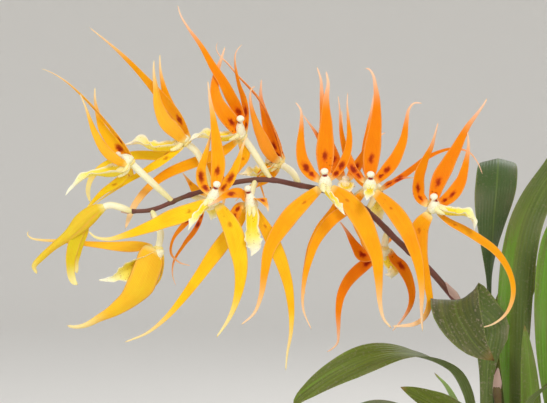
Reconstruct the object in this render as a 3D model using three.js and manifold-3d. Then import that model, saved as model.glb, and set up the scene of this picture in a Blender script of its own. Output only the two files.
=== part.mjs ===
// A brassia (spider orchid) in flower, growing in a clay pot. Millimetres, +Z up, origin at the centre of
// the pot's underside. The flower spike arches out towards -X and most of its blooms face -Y.
// Each bloom is two nodes: the orange tepals, which are one body round a small hub, and the pale part,
// which is the flower stalk, the column and the lip grown together.
import * as THREE from "three";
import { mergeVertices } from "three/addons/utils/BufferGeometryUtils.js";
import Module from "manifold-3d";

const wasm = await Module();
wasm.setup();

const UP = new THREE.Vector3(0, 0, 1);
const GRID = 0.6; // one step of the bloom tables, so a path point [10, 0, 0] lies 6 mm right of the heart
const GAP = 0.32; // clearance between neighbouring nodes

const pot = {
  height: 125,
  footRadius: 50,
  bodyRadius: 66, // just below the rim band
  rimRadius: 74,
  rimHeight: 24,
  rimLip: 1.5,
  wall: 6,
  floor: 8,
  sides: 28,
  drainRadius: 5,
  drainRing: 27,
  drainCount: 4,
  drainSides: 8,
};
const bark = {
  level: 107,
  mound: 5, // height of the heap's middle over its rim
  sides: 20,
  chips: 20,
  chipLong: [12, 20],
  chipWide: [8, 14],
  chipThick: [5, 8],
  chipTilt: [-0.45, 0.45],
};
const tepal = { thick: 1.1, step: 12, channel: [[0, 0.16], [1, 0.16]] };
const lip = { thick: 1.3, step: 5, channel: [[0, 1.2], [0.45, 1.1], [0.62, 0.75], [0.85, 0.5],
  [1, 0.3]] };
const bract = { thick: 0.9, step: 9, channel: [[0, 0.3], [1, 0.3]], faces: [[0.2, 0.9, 0.4]] };
const jointBract = { long: 7, wide: 3.6, droop: [0, 1.2, -1.6] };
const leaf = { thick: 1.3, edge: 0.8, steps: 10, fold: 1.05, open: 0.2, opened: 0.35 };
const bulb = {
  sides: 12,
  sunk: 4, // depth of its foot in the bark
  rib: 0.06, // every other line of its skin lies this share nearer the middle
  profile: [[0, 0.5], [0.1, 0.8], [0.3, 1], [0.55, 0.93], [0.78, 0.68], [0.93, 0.4], [1, 0.2]],
};
// Radii of a bloom's stalk, from its joint past the heart, halfway, to the column's tip. It runs straight
// for the last stretch before the heart, and the lip springs from it a little ahead of the heart.
const stalk = {
  radii: [[0, 1.3], [0.13, 1.9], [0.5, 2.05], [1, 2.4]],
  straight: 9,
  ahead: 2.9,
  sides: 6,
  steps: 8,
};
const hub = { radius: 3.3, ring: 2.7, half: 1.2, sides: 6 }; // ring: how far out the tepals are rooted

// Half-width along a blade as a share of its widest, from root to tip. channel above is how far the edges
// stand up, as a share of the half-width.
const outlines = {
  tepal: [[0, 0.42], [0.12, 0.8], [0.26, 1], [0.45, 0.76], [0.64, 0.46], [0.8, 0.25], [0.92, 0.14],
    [1, 0.08]],
  strap: [[0, 0.45], [0.1, 0.86], [0.19, 1], [0.3, 0.84], [0.42, 0.58], [0.56, 0.42], [0.72, 0.3],
    [0.88, 0.2], [1, 0.09]],
  boat: [[0, 0.7], [0.1, 1], [0.3, 1], [0.5, 0.64], [0.68, 0.36], [0.84, 0.2], [1, 0.08]],
  ribbon: [[0, 0.45], [0.15, 0.95], [0.35, 1], [0.6, 0.82], [0.8, 0.64], [0.92, 0.5], [1, 0.12]],
  slender: [[0, 0.4], [0.14, 0.8], [0.3, 1], [0.44, 0.78], [0.52, 0.5], [0.62, 0.68], [0.74, 0.52],
    [0.88, 0.28], [1, 0.08]],
  tongue: [[0, 0.4], [0.2, 0.7], [0.4, 1], [0.54, 0.95], [0.68, 0.45], [0.82, 0.24], [1, 0.07]],
  lip: [[0, 0.36], [0.14, 0.62], [0.3, 0.8], [0.46, 0.72], [0.6, 0.95], [0.7, 1], [0.82, 0.72],
    [0.92, 0.32], [1, 0.07]],
  leaf: [[0, 0.3], [0.12, 0.42], [0.3, 0.86], [0.5, 1], [0.7, 0.94], [0.85, 0.66], [0.95, 0.3],
    [1, 0.05]],
  spoon: [[0, 0.3], [0.3, 0.3], [0.45, 0.36], [0.58, 0.7], [0.72, 1], [0.86, 0.9], [0.95, 0.5], [1, 0.06]],
  paddle: [[0, 0.25], [0.5, 0.25], [0.57, 0.3], [0.63, 0.5], [0.7, 0.8], [0.76, 0.95], [0.84, 0.95],
    [0.92, 0.66], [1, 0.06]],
  bract: [[0, 0.8], [0.35, 1], [0.75, 0.5], [1, 0.1]],
};

// The spike's line from the foot of bulb_1 to its last bud, and its radius at the foot and the tip.
const spike = {
  foot: 2.4,
  tip: 1.25,
  sides: 6,
  path: [
    [-6, -13, 100], [-6, -13, 150], [-5, -12, 200], [-3, -11, 228], [-7, -6, 252], [-17, 2, 274],
    [-29, 6, 290], [-43, 4, 306], [-62, 3, 323], [-76, 2, 337], [-90, 0, 347], [-107, 0, 353],
    [-122, 0, 356], [-138, 0, 359], [-156, 0, 358], [-172, 0, 354], [-189, 0, 349], [-209, 0, 341],
    [-221, -1, 340],
  ],
};
// Sheathing bracts on the bare part of the spike: where they leave it, where they point, and their width.
const sheaths = [
  { at: [-4.2, -10.6, 232], to: [-3.4, -15, 248], wide: 6 },
  { at: [-24, 5, 284], to: [-33, -1, 298], wide: 5 },
  { at: [-6, -13, 165], to: [-4, -16.8, 182], wide: 7 },
];

// Blooms from the foot of the spray to its tip. heart: where the tepals meet. from: the joint on the spike.
// axis: the way the stalk runs into the bloom. column: its tip. Paths run [right, up, back] from the heart
// in grid steps. A tepal or lip is [widest, faces, path, outline]: faces are the ways its inner side looks,
// root to tip, and the outline is named where it isn't the usual one.
const blooms = [
  {
    name: "bloom_1",
    heart: [-42.7, -18, 341.5],
    from: [-54, 2.5, 316.5],
    axis: [0.35, -0.8, 0.48],
    column: [1, 12, -8],
    lip: [15, [[0.1, -0.5, 0.85], [0.5, -0.4, 0.75]],
      [[12, -5, -8], [22, -6, -11], [30, -6, -12], [36, -9, -13], [39, -14, -13], [40, -21, -13]]],
    tepals: [
      [16, [[0.1, -0.95, 0.1]],
        [[6, 26, 3], [16, 45, 4], [24.5, 60.5, 4], [34.5, 80, 3], [43.5, 92.5, 2], [51, 103, 1],
          [54, 109, 0]]],
      [16, [[0.6, -0.8, 0]],
        [[-13, 13, 0], [-14, 28, -1], [-8.5, 46, -1], [-1, 61, 0], [3, 74, 1], [6, 85, 1]]],
      [14, [[-0.3, -0.9, 0.2]],
        [[20, 14, 2], [29, 28, 3], [34, 47, 3], [36, 62, 2], [35, 76, 1]]],
      [19, [[0, -1, 0.1], [0.3, -0.95, 0.1], [0.2, -0.9, 0.3]],
        [[-12, -19, 2], [-12.5, -40, 3], [-7, -61, 4], [-3, -81, 4], [-2, -91, 4], [-7, -106, 4],
          [-17, -113, 4], [-32, -115, 4], [-39, -115, 4]], "strap"],
      [12, [[0.3, -0.75, 0.6], [0.3, -0.75, 0.6], [0, -0.9, 0.4]],
        [[17, -13, 0], [31, -20.5, 0], [47, -30.5, 0], [62.5, -42, 0], [73.5, -57.5, -1], [78.5, -74, -4],
          [77.5, -87.5, -8], [70.5, -101.5, -13.5], [57.5, -111, -19], [42, -115, -24]]],
    ],
  },
  {
    name: "bloom_2",
    heart: [-69, 8, 318.4],
    from: [-67.5, 3, 328],
    axis: [-0.1, 0.45, -0.9],
    column: [1, -1, 14],
    lip: [15, [[-0.5, 0.7, 0.3]], [[5, -12, 7], [10, -20, 8], [13, -25, 7], [8, -28, 5], [1, -28, 4]]],
    tepals: [
      [12, [[0, -0.9, 0.4], [0.2, -0.95, 0.1]],
        [[10, -12, 2], [18, -20, 3], [24, -31, 3], [28, -45, 3], [27, -58, 2], [20, -71, 1], [8, -85, 0]]],
      [13, [[0, -0.9, 0.4], [-0.2, -0.95, 0.1]],
        [[-14, -14, 4], [-26, -24, 5], [-37, -36, 5], [-44, -52, 5], [-46, -67, 4], [-46, -84, 3],
          [-47, -97, 2], [-54, -104, 2], [-58, -106, 2]]],
      [15, [[0.2, -0.95, 0.3]], [[-12, -6, -1], [-22, -8, -2], [-31, 4, -2], [-38, 16, -2], [-45, 26, -2]]],
      [10, [[-0.4, -0.8, 0.3]], [[6, 6, 18], [7, 4, 36], [4, -4, 54]]],
      [13, [[0, 0.8, -0.4]], [[-8, -4, 14], [-16, 2, 30], [-20, 10, 48], [-20, 18, 66]]],
    ],
  },
  {
    name: "bloom_3",
    heart: [-73.7, 12, 351.7],
    from: [-79, 1.5, 341.5],
    axis: [0.2, 0.85, 0.5],
    column: [2, 10, 10],
    lip: [16, [[0, 0.4, 0.9]], [[0, -9, 16], [2, -16, 26], [4, -26, 34], [4, -36, 36]]],
    tepals: [
      [8, [[0, -0.7, 0.7], [-0.2, -0.8, 0.6]],
        [[14, 8, 1], [28, 16.5, 2], [41, 26, 3], [54, 36, 3], [74, 43.5, 3], [86, 43.5, 2], [95, 40, 1],
          [103, 30, 0], [108, 18, -1]]],
      [10, [[-0.1, -0.6, 0.8]], [[16, 9, -3], [28, 14, -5], [39, 14.5, -7]]],
      [13, [[0, -0.9, 0.2]], [[-9, 34, 2], [-7, 64, 3], [-4, 84, 3], [-2, 100, 3]]],
      [12, [[0, -0.9, 0.2]], [[18, -20, 8], [32, -36, 10], [42, -56, 10], [46, -78, 9], [48, -96, 9]]],
      [10, [[0, -0.9, 0.2]], [[-16, 14, 10], [-27, 36, 14], [-33, 56, 15], [-34, 84, 15]]],
    ],
  },
  {
    name: "bloom_4",
    heart: [-80, -22, 354.4],
    from: [-90, 0, 347],
    axis: [0.1, -0.99, 0.1],
    column: [1, 12, -9],
    lip: [10, [[0, -0.3, 0.95]], [[0, -4, -14], [-1, -7, -24], [-3, -10, -33], [-5, -13, -40]]],
    tepals: [
      [17, [[0, -1, 0.1]],
        [[2.5, 33, 0], [6, 59, -1], [7.5, 83, -1], [6, 99, -1], [4, 109, -1], [0, 115, -1],
          [-4, 116, -1]]],
      [13, [[-0.3, -0.95, 0]],
        [[16, 15, 0], [26, 28.5, -1], [33.5, 46.5, -1], [36.5, 64, 0], [39, 76, 1], [44, 82, 1],
          [52, 82, 1]]],
      [9, [[0.3, -0.95, 0]], [[-16, 18, 5], [-23, 36, 7], [-27, 56, 8], [-28.5, 78, 8], [-30, 90, 8]]],
      [17, [[0.1, -1, 0.1]],
        [[20, -19, 0], [33, -36, -1], [42, -56, -2], [48, -75, -2], [51, -98, -2], [51, -122, -2],
          [52, -141, -2]]],
      [12, [[-0.1, -1, 0.1]],
        [[-20, -20, 5], [-36, -32, 6], [-50, -50, 6], [-58, -70, 6], [-64, -98, 5], [-64, -120, 5],
          [-56, -140, 5]]],
    ],
  },
  {
    name: "bloom_5",
    heart: [-93.3, -8, 355.7],
    from: [-99.5, 0, 351],
    axis: [-0.2, -0.95, 0.3],
    column: [0, 6, -5],
    lip: [17, [[0, -0.25, 0.95]], [[0, -4, -10], [0, -5, -15], [0, -6, -20], [0, -9, -25]]],
    tepals: [
      [15, [[0, -1, 0.1]],
        [[-10, 22, 5], [-18, 42, 8], [-21, 70, 9], [-23, 90, 7], [-24, 105, 6], [-28, 118, 5]]],
      [11, [[0.2, -0.9, 0.2]], [[-16, 24, 14], [-26, 48, 18], [-36, 63, 18], [-42, 71, 17]]],
      [11, [[-0.2, -0.9, 0.2]], [[14, 22, 10], [26, 42, 13], [36, 50, 13], [41, 53, 13]]],
      [12, [[0, -1, 0.1]],
        [[-10.5, -27, 7], [-24, -43, 9], [-33.5, -60, 9], [-38.5, -77, 8], [-42, -97, 7], [-39.5, -109, 7]]],
      [14, [[0, -1, 0.1]],
        [[10, -25, 5], [19, -50, 5], [29, -73, 5], [34, -100, 5], [35, -120, 5]]],
    ],
  },
  {
    name: "bloom_6",
    heart: [-105.9, -26, 356.1],
    from: [-109, 0, 353.4],
    axis: [0, -0.99, 0.1],
    column: [-1, 12, -9],
    lip: [10, [[0.6, -0.5, 0.6]],
      [[-1, -7, -10], [3, -13, -20], [8, -19, -28], [13, -25, -34], [18, -30, -40]]],
    tepals: [
      [18, [[0, -1, 0.1]], [[0, 34, -1], [1, 58, -1], [1, 82, 0], [3, 98, 1], [1, 110, 2]]],
      [13, [[0.3, -0.95, 0]],
        [[-15, 11, 0], [-22, 23, -1], [-24, 40, 0], [-23, 58, 1], [-24, 73, 2], [-29, 80, 3]]],
      [9, [[-0.3, -0.95, 0]],
        [[13, 13, -1], [20, 26, -3], [23.5, 42, -3], [22.5, 62, -2], [21.5, 79, -1], [22, 89, -1]]],
      [17, [[-0.1, -1, 0.1]],
        [[-19, -16, 0], [-33.5, -30.5, -2], [-44.5, -45.5, -3], [-54, -62.5, -3], [-58.5, -84, -2],
          [-62, -107, -1], [-69, -125.5, 0], [-82, -137, 1]]],
      [20, [[0.1, -1, 0.1]],
        [[21, -16, -2], [33, -31, -3], [43, -51, -3], [50, -72, -2], [52, -94, -1], [53, -114, -1],
          [57, -131, 0], [65, -140.5, 1]]],
    ],
  },
  {
    name: "bloom_7",
    heart: [-131.3, 14, 368.7],
    from: [-120.5, 0.5, 356.5],
    axis: [-0.75, 0.35, 0.55],
    column: [-13, 4, 1],
    lip: [20, [[-0.1, -0.4, 0.9]],
      [[-13, -9, 0], [-24, -12, -1], [-34, -11, -1], [-44, -10, -1]]],
    tepals: [
      [12, [[-0.75, -0.2, -0.6]],
        [[-6, 32, 3], [-22, 66, 4], [-32, 78, 3], [-43, 89, 2], [-54, 102, 0], [-63, 111, -1],
          [-66, 118, -2], [-64.5, 124, -2]]],
      [13, [[-0.3, 0.9, 0.2]],
        [[-10, 9, -11], [-19, 26, -13], [-27, 46, -11], [-31, 64, -8], [-30, 76, -6], [-26, 79, -5]]],
      [16, [[-0.3, -0.9, 0.2]],
        [[-5, 13, 11], [-11, 32, 13], [-17, 52, 13], [-20.5, 68, 11], [-20.5, 80, 9], [-20, 87, 8]]],
      [7, [[-0.9, -0.4, 0.1]],
        [[-14, -4, -6], [-23, -11, -5], [-20, -24, -3], [-17, -34, -2], [-13, -46, -1]]],
      [11, [[-0.5, -0.85, 0]],
        [[-12, -12, 12], [-26, -20, 24], [-38, -28, 36], [-48, -38, 48]]],
    ],
  },
  {
    name: "bloom_8",
    heart: [-154.2, 0, 384.6],
    from: [-137.5, 0, 359],
    axis: [-0.55, -0.35, 0.76],
    column: [-2.5, 17.5, -14],
    lip: [18, [[0, -0.35, 0.93]],
      [[-16, -4, -7], [-28, -3, -9], [-38, -1, -11], [-47, -1, -12], [-54, -5, -13]]],
    tepals: [
      [12, [[-0.1, -0.95, -0.3]],
        [[-4, 24, 2], [-12, 40, -7], [-20, 55, -14], [-31, 72, -16], [-42, 91, -15], [-53, 106, -13],
          [-61.5, 120, -11], [-65, 131, -10]]],
      [17, [[0.3, -0.9, 0.1]],
        [[-6, 7, -7], [-13, 16, -11], [-20, 25, -14], [-27, 39, -13], [-28, 55, -11], [-25, 68, -9],
          [-21, 80, -7], [-18, 90, -5]]],
      [10, [[-0.75, -0.65, 0]], [[3, 30, 1], [-4.5, 55, 0], [-8, 75, -1], [-7, 85, -1], [-1, 93, -1]]],
      [12, [[-0.3, -0.9, 0.3]],
        [[-22, -15, 9], [-46, -24, 14], [-72, -34, 16], [-93, -48, 16], [-109, -67, 15],
          [-116, -83, 14], [-119, -92, 13]], "ribbon"],
      [12, [[-0.2, -0.95, 0.2]], [[2, -16, 8], [-5, -28, 10], [-13, -41, 12], [-19, -60, 13],
        [-22, -80, 13]]],
    ],
  },
  {
    name: "bloom_9",
    heart: [-149.2, -16, 345],
    from: [-147, 0, 359],
    axis: [0.1, -0.95, -0.25],
    column: [-3, 14, -9],
    lip: [17, [[0.2, -0.95, 0.2]],
      [[0, -13, -10], [0, -24, -13], [1, -35, -14], [3, -44, -14], [0, -52, -13]]],
    tepals: [
      [14, [[0.1, -0.85, 0.5], [-0.2, -0.85, 0.5]],
        [[-12, 9, -12], [-24, 7, -23], [-34, 1, -31], [-41, -3, -36]]],
      [11, [[0.2, -0.95, 0]],
        [[-12, -4, -2], [-17, -15, -4], [-16, -30, -5], [-13, -44, -5], [-10, -58, -5]]],
      [12, [[0.2, -0.6, 0.8]], [[9, 4, -12], [13, 0, -24], [16, -4, -35], [17, -8, -44]]],
      [14, [[0.1, -1, 0.1]],
        [[15, -26, 0], [24, -44, 0], [31.5, -63, 0], [37, -84, 1], [39.5, -106, 1], [39, -128, 2],
          [35.5, -148, 2], [34, -165, 2]]],
      [15, [[-0.1, -1, 0.1]],
        [[-18, -26, 6], [-32, -45, 8], [-47, -66, 8], [-64.5, -90, 6], [-82, -111, 4],
          [-102, -127.5, 2], [-125, -137, 1]]],
    ],
  },
  {
    name: "bloom_10",
    heart: [-170.7, -24, 347.4],
    from: [-163, 0, 356.5],
    axis: [-0.25, -0.95, -0.15],
    column: [3, 14, -10],
    lip: [10, [[-0.2, -0.4, 0.9]], [[-7, -9, -13], [-13, -16, -20], [-19, -23, -26], [-24, -30, -30]]],
    tepals: [
      [14, [[0, -1, 0.1]], [[4, 34, -1], [2, 58, -3], [-1, 80, -3], [-4, 98, -3], [-6, 115, -4]]],
      [11, [[0.3, -0.95, 0]], [[-11, 14, 1], [-13, 26, 1], [-9, 42, 3], [-5, 57, 5], [-2, 71, 7]]],
      [11, [[-0.3, -0.95, 0]], [[14, 17, 0], [22, 33, 1], [27, 49, 2], [32, 63, 3]]],
      [17, [[-0.1, -1, 0.1]],
        [[-24, -12, 0], [-44, -19.5, -1], [-64, -27.5, 0], [-84, -34.5, 1], [-103, -39, 2],
          [-116, -37, 2], [-123, -31, 2]]],
      [19, [[0.1, -1, 0.1]],
        [[16, -26, -1], [23.5, -50, -2], [26, -71, -1], [23.5, -91, 0], [18, -109, 1], [10.5, -123, 1],
          [2, -135, 1]]],
    ],
  },
  {
    name: "bloom_11",
    heart: [-187.9, 2, 381.1],
    from: [-173, 0, 353.8],
    axis: [-0.7, 0, 0.7],
    column: [-13, 9, 0],
    lip: [19, [[0.1, -0.3, 0.95]],
      [[-12, -6, -1], [-26, -8, -2], [-38, -6, -2], [-46, -1, -3], [-54, -1, -4], [-64, -2, -6]]],
    tepals: [
      [14, [[-0.5, -0.7, -0.4]],
        [[-10, 28, 3], [-34, 56, 4], [-57, 81, 3], [-78, 100, 1], [-98, 116, -2]]],
      [15, [[-0.3, 0.9, 0.2]],
        [[-10, 10, -11], [-21.5, 22, -13], [-28, 38, -12], [-31, 56, -8], [-33, 71, -5], [-33, 83, -3]]],
      [13, [[-0.3, -0.9, 0.2]],
        [[-8, 17, 11], [-17, 36, 13], [-24, 56, 12], [-27.5, 74, 10], [-28, 90, 8]]],
      [10, [[-0.3, -0.8, 0.5]],
        [[-18, -14, -4], [-38, -26, 0], [-58, -37, 4], [-75, -48, 9], [-90, -58, 14], [-100, -66, 18]]],
      [11, [[-0.1, -0.8, 0.6], [-0.5, -0.8, 0.2]],
        [[-25, -12, 13], [-55, -12, 18], [-74, -17, 21], [-90, -25, 23], [-99.5, -37, 24],
          [-102, -48, 24], [-100, -60, 24]], "ribbon"],
    ],
  },
  {
    name: "bloom_12",
    heart: [-176.3, 13, 345],
    from: [-186, 0.5, 349.8],
    axis: [0.4, 0.85, -0.35],
    column: [3, 8, 10],
    lip: [14, [[0.2, 0.7, 0.6]], [[2, -4, 14], [3, -9, 26], [3, -14, 36], [2, -18, 44]]],
    tepals: [
      [12, [[0.2, -0.7, 0.6]], [[12, 12, 10], [14, 26, 26], [10, 40, 42]]],
      [9, [[-0.7, -0.6, 0.3]],
        [[-23, -22, 0], [-35, -38, 0], [-36.5, -51, 0], [-28.5, -60, 0], [-17, -63.5, 0]]],
      [9, [[-0.7, -0.6, 0.3]],
        [[-10, -24, 5], [-24, -43, 5], [-34, -59, 5], [-35.5, -73, 4], [-32, -84, 4]]],
      [12, [[0.3, -0.9, 0.3]], [[-9, 9, 6], [-17, 19, 11], [-26, 31, 15]]],
      [12, [[0, -0.95, 0.1]], [[0, 18, 12], [2, 38, 19], [6, 58, 20], [9, 78, 19]]],
    ],
  },
  {
    name: "bloom_13",
    heart: [-220.8, -6, 368.8],
    from: [-196.5, 0, 346],
    axis: [-0.72, -0.1, 0.68],
    column: [-13, 8, 0],
    lip: [18, [[0.2, -0.4, 0.9]],
      [[-10, -11, -1], [-23, -13.5, -1], [-34, -12, -2], [-41, -13, -2], [-48, -16, -2],
        [-55, -21.5, -3], [-61, -27, -3], [-65, -32, -4]], "slender"],
    tepals: [
      [10, [[-0.65, -0.35, -0.65]],
        [[-9, 21, 2], [-26, 42, 3], [-38, 56, 3], [-52, 70, 2], [-66, 82, 1], [-79, 90, 0],
          [-89, 94, -2]]],
      [10.5, [[-0.3, 0.9, 0.2]],
        [[-12, 2, -10], [-24, 12, -12], [-33, 26, -11], [-39.5, 41, -8], [-44.5, 55, -5],
          [-50.5, 69, -3]]],
      [14, [[-0.3, -0.9, 0.2]],
        [[-9.5, 12, 10], [-21, 23, 12], [-30, 36, 12], [-34.5, 50, 11], [-37, 64, 9], [-37, 76, 8]]],
      [9, [[-0.7, -0.2, -0.65]],
        [[-6, -11, 2], [-15, -19, 8], [-27, -26.5, 14], [-38, -36, 18], [-48, -48, 21],
          [-54, -62, 22]]],
      [9, [[-0.6, -0.5, -0.6]], [[-2, -8, 17], [-7, -15, 34], [-14, -21, 50], [-25, -27, 64]]],
    ],
  },
  {
    name: "bud_1",
    heart: [-204.9, -4, 318.1],
    from: [-209, 0, 341],
    axis: [-0.15, 0, -0.98],
    column: [-6, -10, 0],
    lip: [23, [[0.3, -0.9, -0.2]],
      [[-13, -13, -4], [-25, -19, -6], [-34, -24, -6], [-43, -29, -5], [-51, -31, -5],
        [-59, -31.5, -4]], "tongue"],
    tepals: [
      [12.5, [[0, 0.85, -0.45]],
        [[-14, 2, 2], [-38, 2, 7], [-58, 3, 10], [-78, 5, 11], [-98, 7, 11], [-118, 8, 10],
          [-128, 10, 9], [-132, 14, 9], [-130, 17, 9]], "strap"],
      [29, [[-0.3, 0.9, 0.2]],
        [[-7, -8, -8], [-10, -20, -14], [-14, -33, -14], [-24, -47, -11], [-39, -59, -7],
          [-57, -69, -4], [-73, -77, -2], [-84, -78.5, -1], [-91, -77, 0]], "boat"],
      [17, [[-0.5, -0.8, 0.3]],
        [[-13, -20, 12], [-20, -36, 13], [-31, -50, 11], [-45, -60, 8], [-60, -68, 6]]],
      [8, [[-0.9, -0.3, 0.2]], [[5, -17, 0], [1, -32, 0], [-10, -43, 0], [-21, -49, 1]]],
    ],
  },
];

// The last bud is still shut: its tepals are one pod, with two tips hanging from it.
const shutBud = {
  name: "bud_2",
  heart: [-238.6, -4, 343.2],
  from: [-221, -1, 340],
  stalk: [[18, -1, 1], [8, 1, 0], [-3, -3, 0]],
  pod: [[4, 0, 0], [-8, -6, 0], [-19, -15, 0], [-32, -28, 0], [-47, -39.5, 0], [-60, -51, 0],
      [-67.5, -60, 0], [-64.5, -67.5, 0]],
  podSides: 8,
  podRadii: [1.8, 4.8, 5.6, 3.7, 2.3, 2.0, 1.5, 0.5],
  tips: [
    [13, [[0.5, -0.85, 0]],
      [[-18, -14, 0], [-25, -29, 1], [-29.5, -42, 1], [-31.5, -56, 1], [-31, -68, 1], [-28.5, -75, 1],
      [-24, -78.5, 1]]],
    [10, [[0.5, -0.85, 0]],
      [[-15, -16, 4], [-21, -31, 6], [-25.5, -46, 8], [-27.5, -58, 9], [-26, -67.5, 9]]],
  ],
};

// Pseudobulbs stand on the bark: foot on the ground plan, height, width, thickness, and turn in degrees.
const bulbs = [
  { name: "bulb_1", foot: [7, 2], tall: 92, wide: 36, thick: 19, turn: 12 },
  { name: "bulb_2", foot: [-22, 19], tall: 84, wide: 34, thick: 18, turn: 48 },
  { name: "bulb_3", foot: [39, 9], tall: 88, wide: 36, thick: 18, turn: -28 },
  { name: "bulb_4", foot: [17, -27], tall: 50, wide: 24, thick: 15, turn: -10 },
  { name: "bulb_5", foot: [3, 43], tall: 80, wide: 34, thick: 17, turn: 8 },
];

// Leaves, each from the top or the foot of a bulb: the widest, the ways the blade runs across (root to
// tip), and the line of the midrib. Where they aren't the usual, fold is how far it closes along the
// midrib at the root, shape its outline, and steps the number of stretches it is made of.
const leaves = [
  { wide: 23, fold: 0.7, across: [[0.8, -0.5, 0.1], [0.85, -0.45, -0.1], [0.6, -0.7, -0.2]],
    path: [[6, 1, 180], [7, 2, 225], [8, 3, 262], [9, 5, 287], [12, 8, 314], [17, 12, 334],
      [25, 17, 350], [38, 25, 368], [52, 34, 388], [68, 44, 398], [84, 54, 398]] },
  { wide: 31, fold: 0.5, steps: 18, shape: "paddle",
    across: [[1, 0.1, 0], [1, 0.1, 0], [1, 0.1, 0], [1, 0.1, 0], [1, 0.1, 0], [1, 0.1, 0.1],
      [0.97, 0.1, 0.1], [0.97, 0.1, 0.2], [0.7, 0, 0.7]],
    path: [[-11, -23, 104], [-11, -23, 160], [-11, -22.5, 205], [-11, -21.5, 238], [-9.5, -19, 257],
      [-7, -15, 272], [-16, -12, 282], [-25.5, -15, 287], [-29.5, -22, 287], [-29.5, -28, 280.5],
      [-25, -33, 271], [-18.5, -37, 262], [-9, -40, 254.5]] },
  { wide: 20, across: [[0.5, -0.8, 0.3], [0.2, -0.9, 0.3], [0.1, -0.95, 0], [0.1, -0.35, -0.9],
      [0.1, -0.4, -0.9]],
    path: [[-20, 16, 180], [-18, 9, 212], [-20, 7, 228], [-26, 5, 241], [-37, 2, 249], [-52, -4, 254],
      [-68, -9, 255], [-85, -16, 251.5], [-102, -22, 244], [-115, -27, 236], [-122, -31, 230.5],
      [-124.5, -33, 224]] },
  { wide: 24, across: [[0.4, -0.8, 0.1], [0.5, -0.8, -0.2], [0.3, -0.5, -0.8], [0.2, -0.4, -0.9]],
    path: [[12, -29, 138], [2, -31, 172], [-12, -36, 206], [-34, -46, 225], [-48, -53, 232.5],
      [-65, -60, 242]] },
  { wide: 13, across: [[0.2, -1, 0], [0.35, -0.9, 0.25], [0.35, -0.9, 0.25]],
    path: [[-22, 14, 111], [-22, -6, 170], [-26, -20, 214], [-34, -28, 236], [-43, -32, 247]] },
  { wide: 27, shape: "spoon",
    across: [[0.2, 1, 0], [0.2, 1, 0], [0.5, 0.9, 0], [1, 0.1, 0], [1, 0.1, 0]],
    path: [[5, 44, 176], [3, 50, 235], [2, 55, 293], [4, 58, 330], [7, 62, 356], [10, 76, 370],
      [13, 96, 374], [16, 118, 372]] },
  { wide: 26, across: [[0.9, 0.3, 0], [0.85, 0.5, 0], [0.85, 0.5, 0.1]],
    path: [[36, 7, 184], [32, 1, 245], [31, -7, 290], [34, -19, 326], [43, -37, 343], [56, -57, 338],
      [70, -73, 315], [80, -85, 280]] },
  { wide: 13, across: [[0.9, 0.2, 0]],
    path: [[18, -27, 148], [16, -26, 195], [14.5, -26, 228], [13, -26, 250], [10.6, -25, 274]] },
  { wide: 21, across: [[0.5, 0.8, 0.1], [0.5, 0.85, 0.2]],
    path: [[17, -34, 130], [10, -37, 185], [9, -40, 222], [18, -46, 239], [38, -54, 246], [60, -64, 237],
      [80, -74, 214]] },
  { wide: 23, across: [[-0.3, -0.9, 0], [-0.4, -0.9, -0.1]],
    path: [[-32, 14, 118], [-44, 4, 170], [-62, -12, 202], [-84, -28, 216], [-108, -44, 208],
      [-128, -56, 188]] },
  { wide: 27, across: [[-0.1, 1, 0], [-0.1, 1, -0.2]],
    path: [[40, 11, 180], [50, 12, 245], [66, 15, 296], [92, 19, 319], [122, 22, 313], [148, 22, 286],
      [166, 20, 250]] },
  { wide: 24, across: [[-0.5, 0.85, 0], [-0.5, 0.85, 0]],
    path: [[48, 15, 120], [60, 26, 190], [79, 41, 236], [104, 58, 256], [132, 73, 247], [151, 82, 222]] },
  { wide: 26, across: [[-0.85, 0.5, 0], [-0.85, 0.5, 0]],
    path: [[5, 50, 172], [10, 68, 236], [24, 92, 282], [42, 118, 301], [64, 142, 292], [80, 160, 263]] },
  { wide: 23, across: [[-0.6, -0.8, 0], [-0.6, -0.8, 0]],
    path: [[-12, 48, 120], [-28, 62, 178], [-50, 80, 205], [-76, 98, 211], [-99, 113, 197],
      [-114, 122, 174]] },
];

const tones = {
  clay: { color: 0xb5683f, roughness: 0.9 },
  bark: { color: 0x6b4a30, roughness: 1 },
  bulb: { color: 0x7d9440, roughness: 0.55 },
  leaf: { color: 0x4f7a24, roughness: 0.45 },
  spike: { color: 0x5a3038, roughness: 0.6 },
  tepal: { color: 0xf59a12, roughness: 0.5 },
  pale: { color: 0xf6eda0, roughness: 0.5 },
  bud: { color: 0xd9cf2e, roughness: 0.5 },
};

// ---- solids

const vector = (p) => new THREE.Vector3(...p);

// A point of a bloom's table, in millimetres.
const fromHeart = (heart, [right, up, back]) =>
  new THREE.Vector3(heart[0] + right * GRID, heart[1] + back * GRID, heart[2] + up * GRID);

const line = (points) => new THREE.CatmullRomCurve3(points, false, "centripetal");

// The value at t of a list of [t, value] pairs.
function along(list, t) {
  const i = Math.max(1, list.findIndex(([at]) => at >= t));
  const [[t0, v0], [t1, v1]] = [list[i - 1], list[i]];
  return THREE.MathUtils.mapLinear(t, t0, t1, v0, v1);
}

// The direction at t of a list of evenly spaced directions.
function turning(list, t) {
  const s = t * (list.length - 1);
  const i = Math.min(Math.floor(s), Math.max(0, list.length - 2));
  return vector(list[i]).lerp(vector(list[Math.min(i + 1, list.length - 1)]), s - i);
}

function solidOf(geometry) {
  const bare = geometry.clone();
  bare.deleteAttribute("normal");
  bare.deleteAttribute("uv");
  const merged = mergeVertices(bare, 1e-4);
  const vertProperties = merged.attributes.position.array;
  const triVerts = new Uint32Array(merged.index.array);
  return new wasm.Manifold(new wasm.Mesh({ numProp: 3, vertProperties, triVerts }));
}

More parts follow.
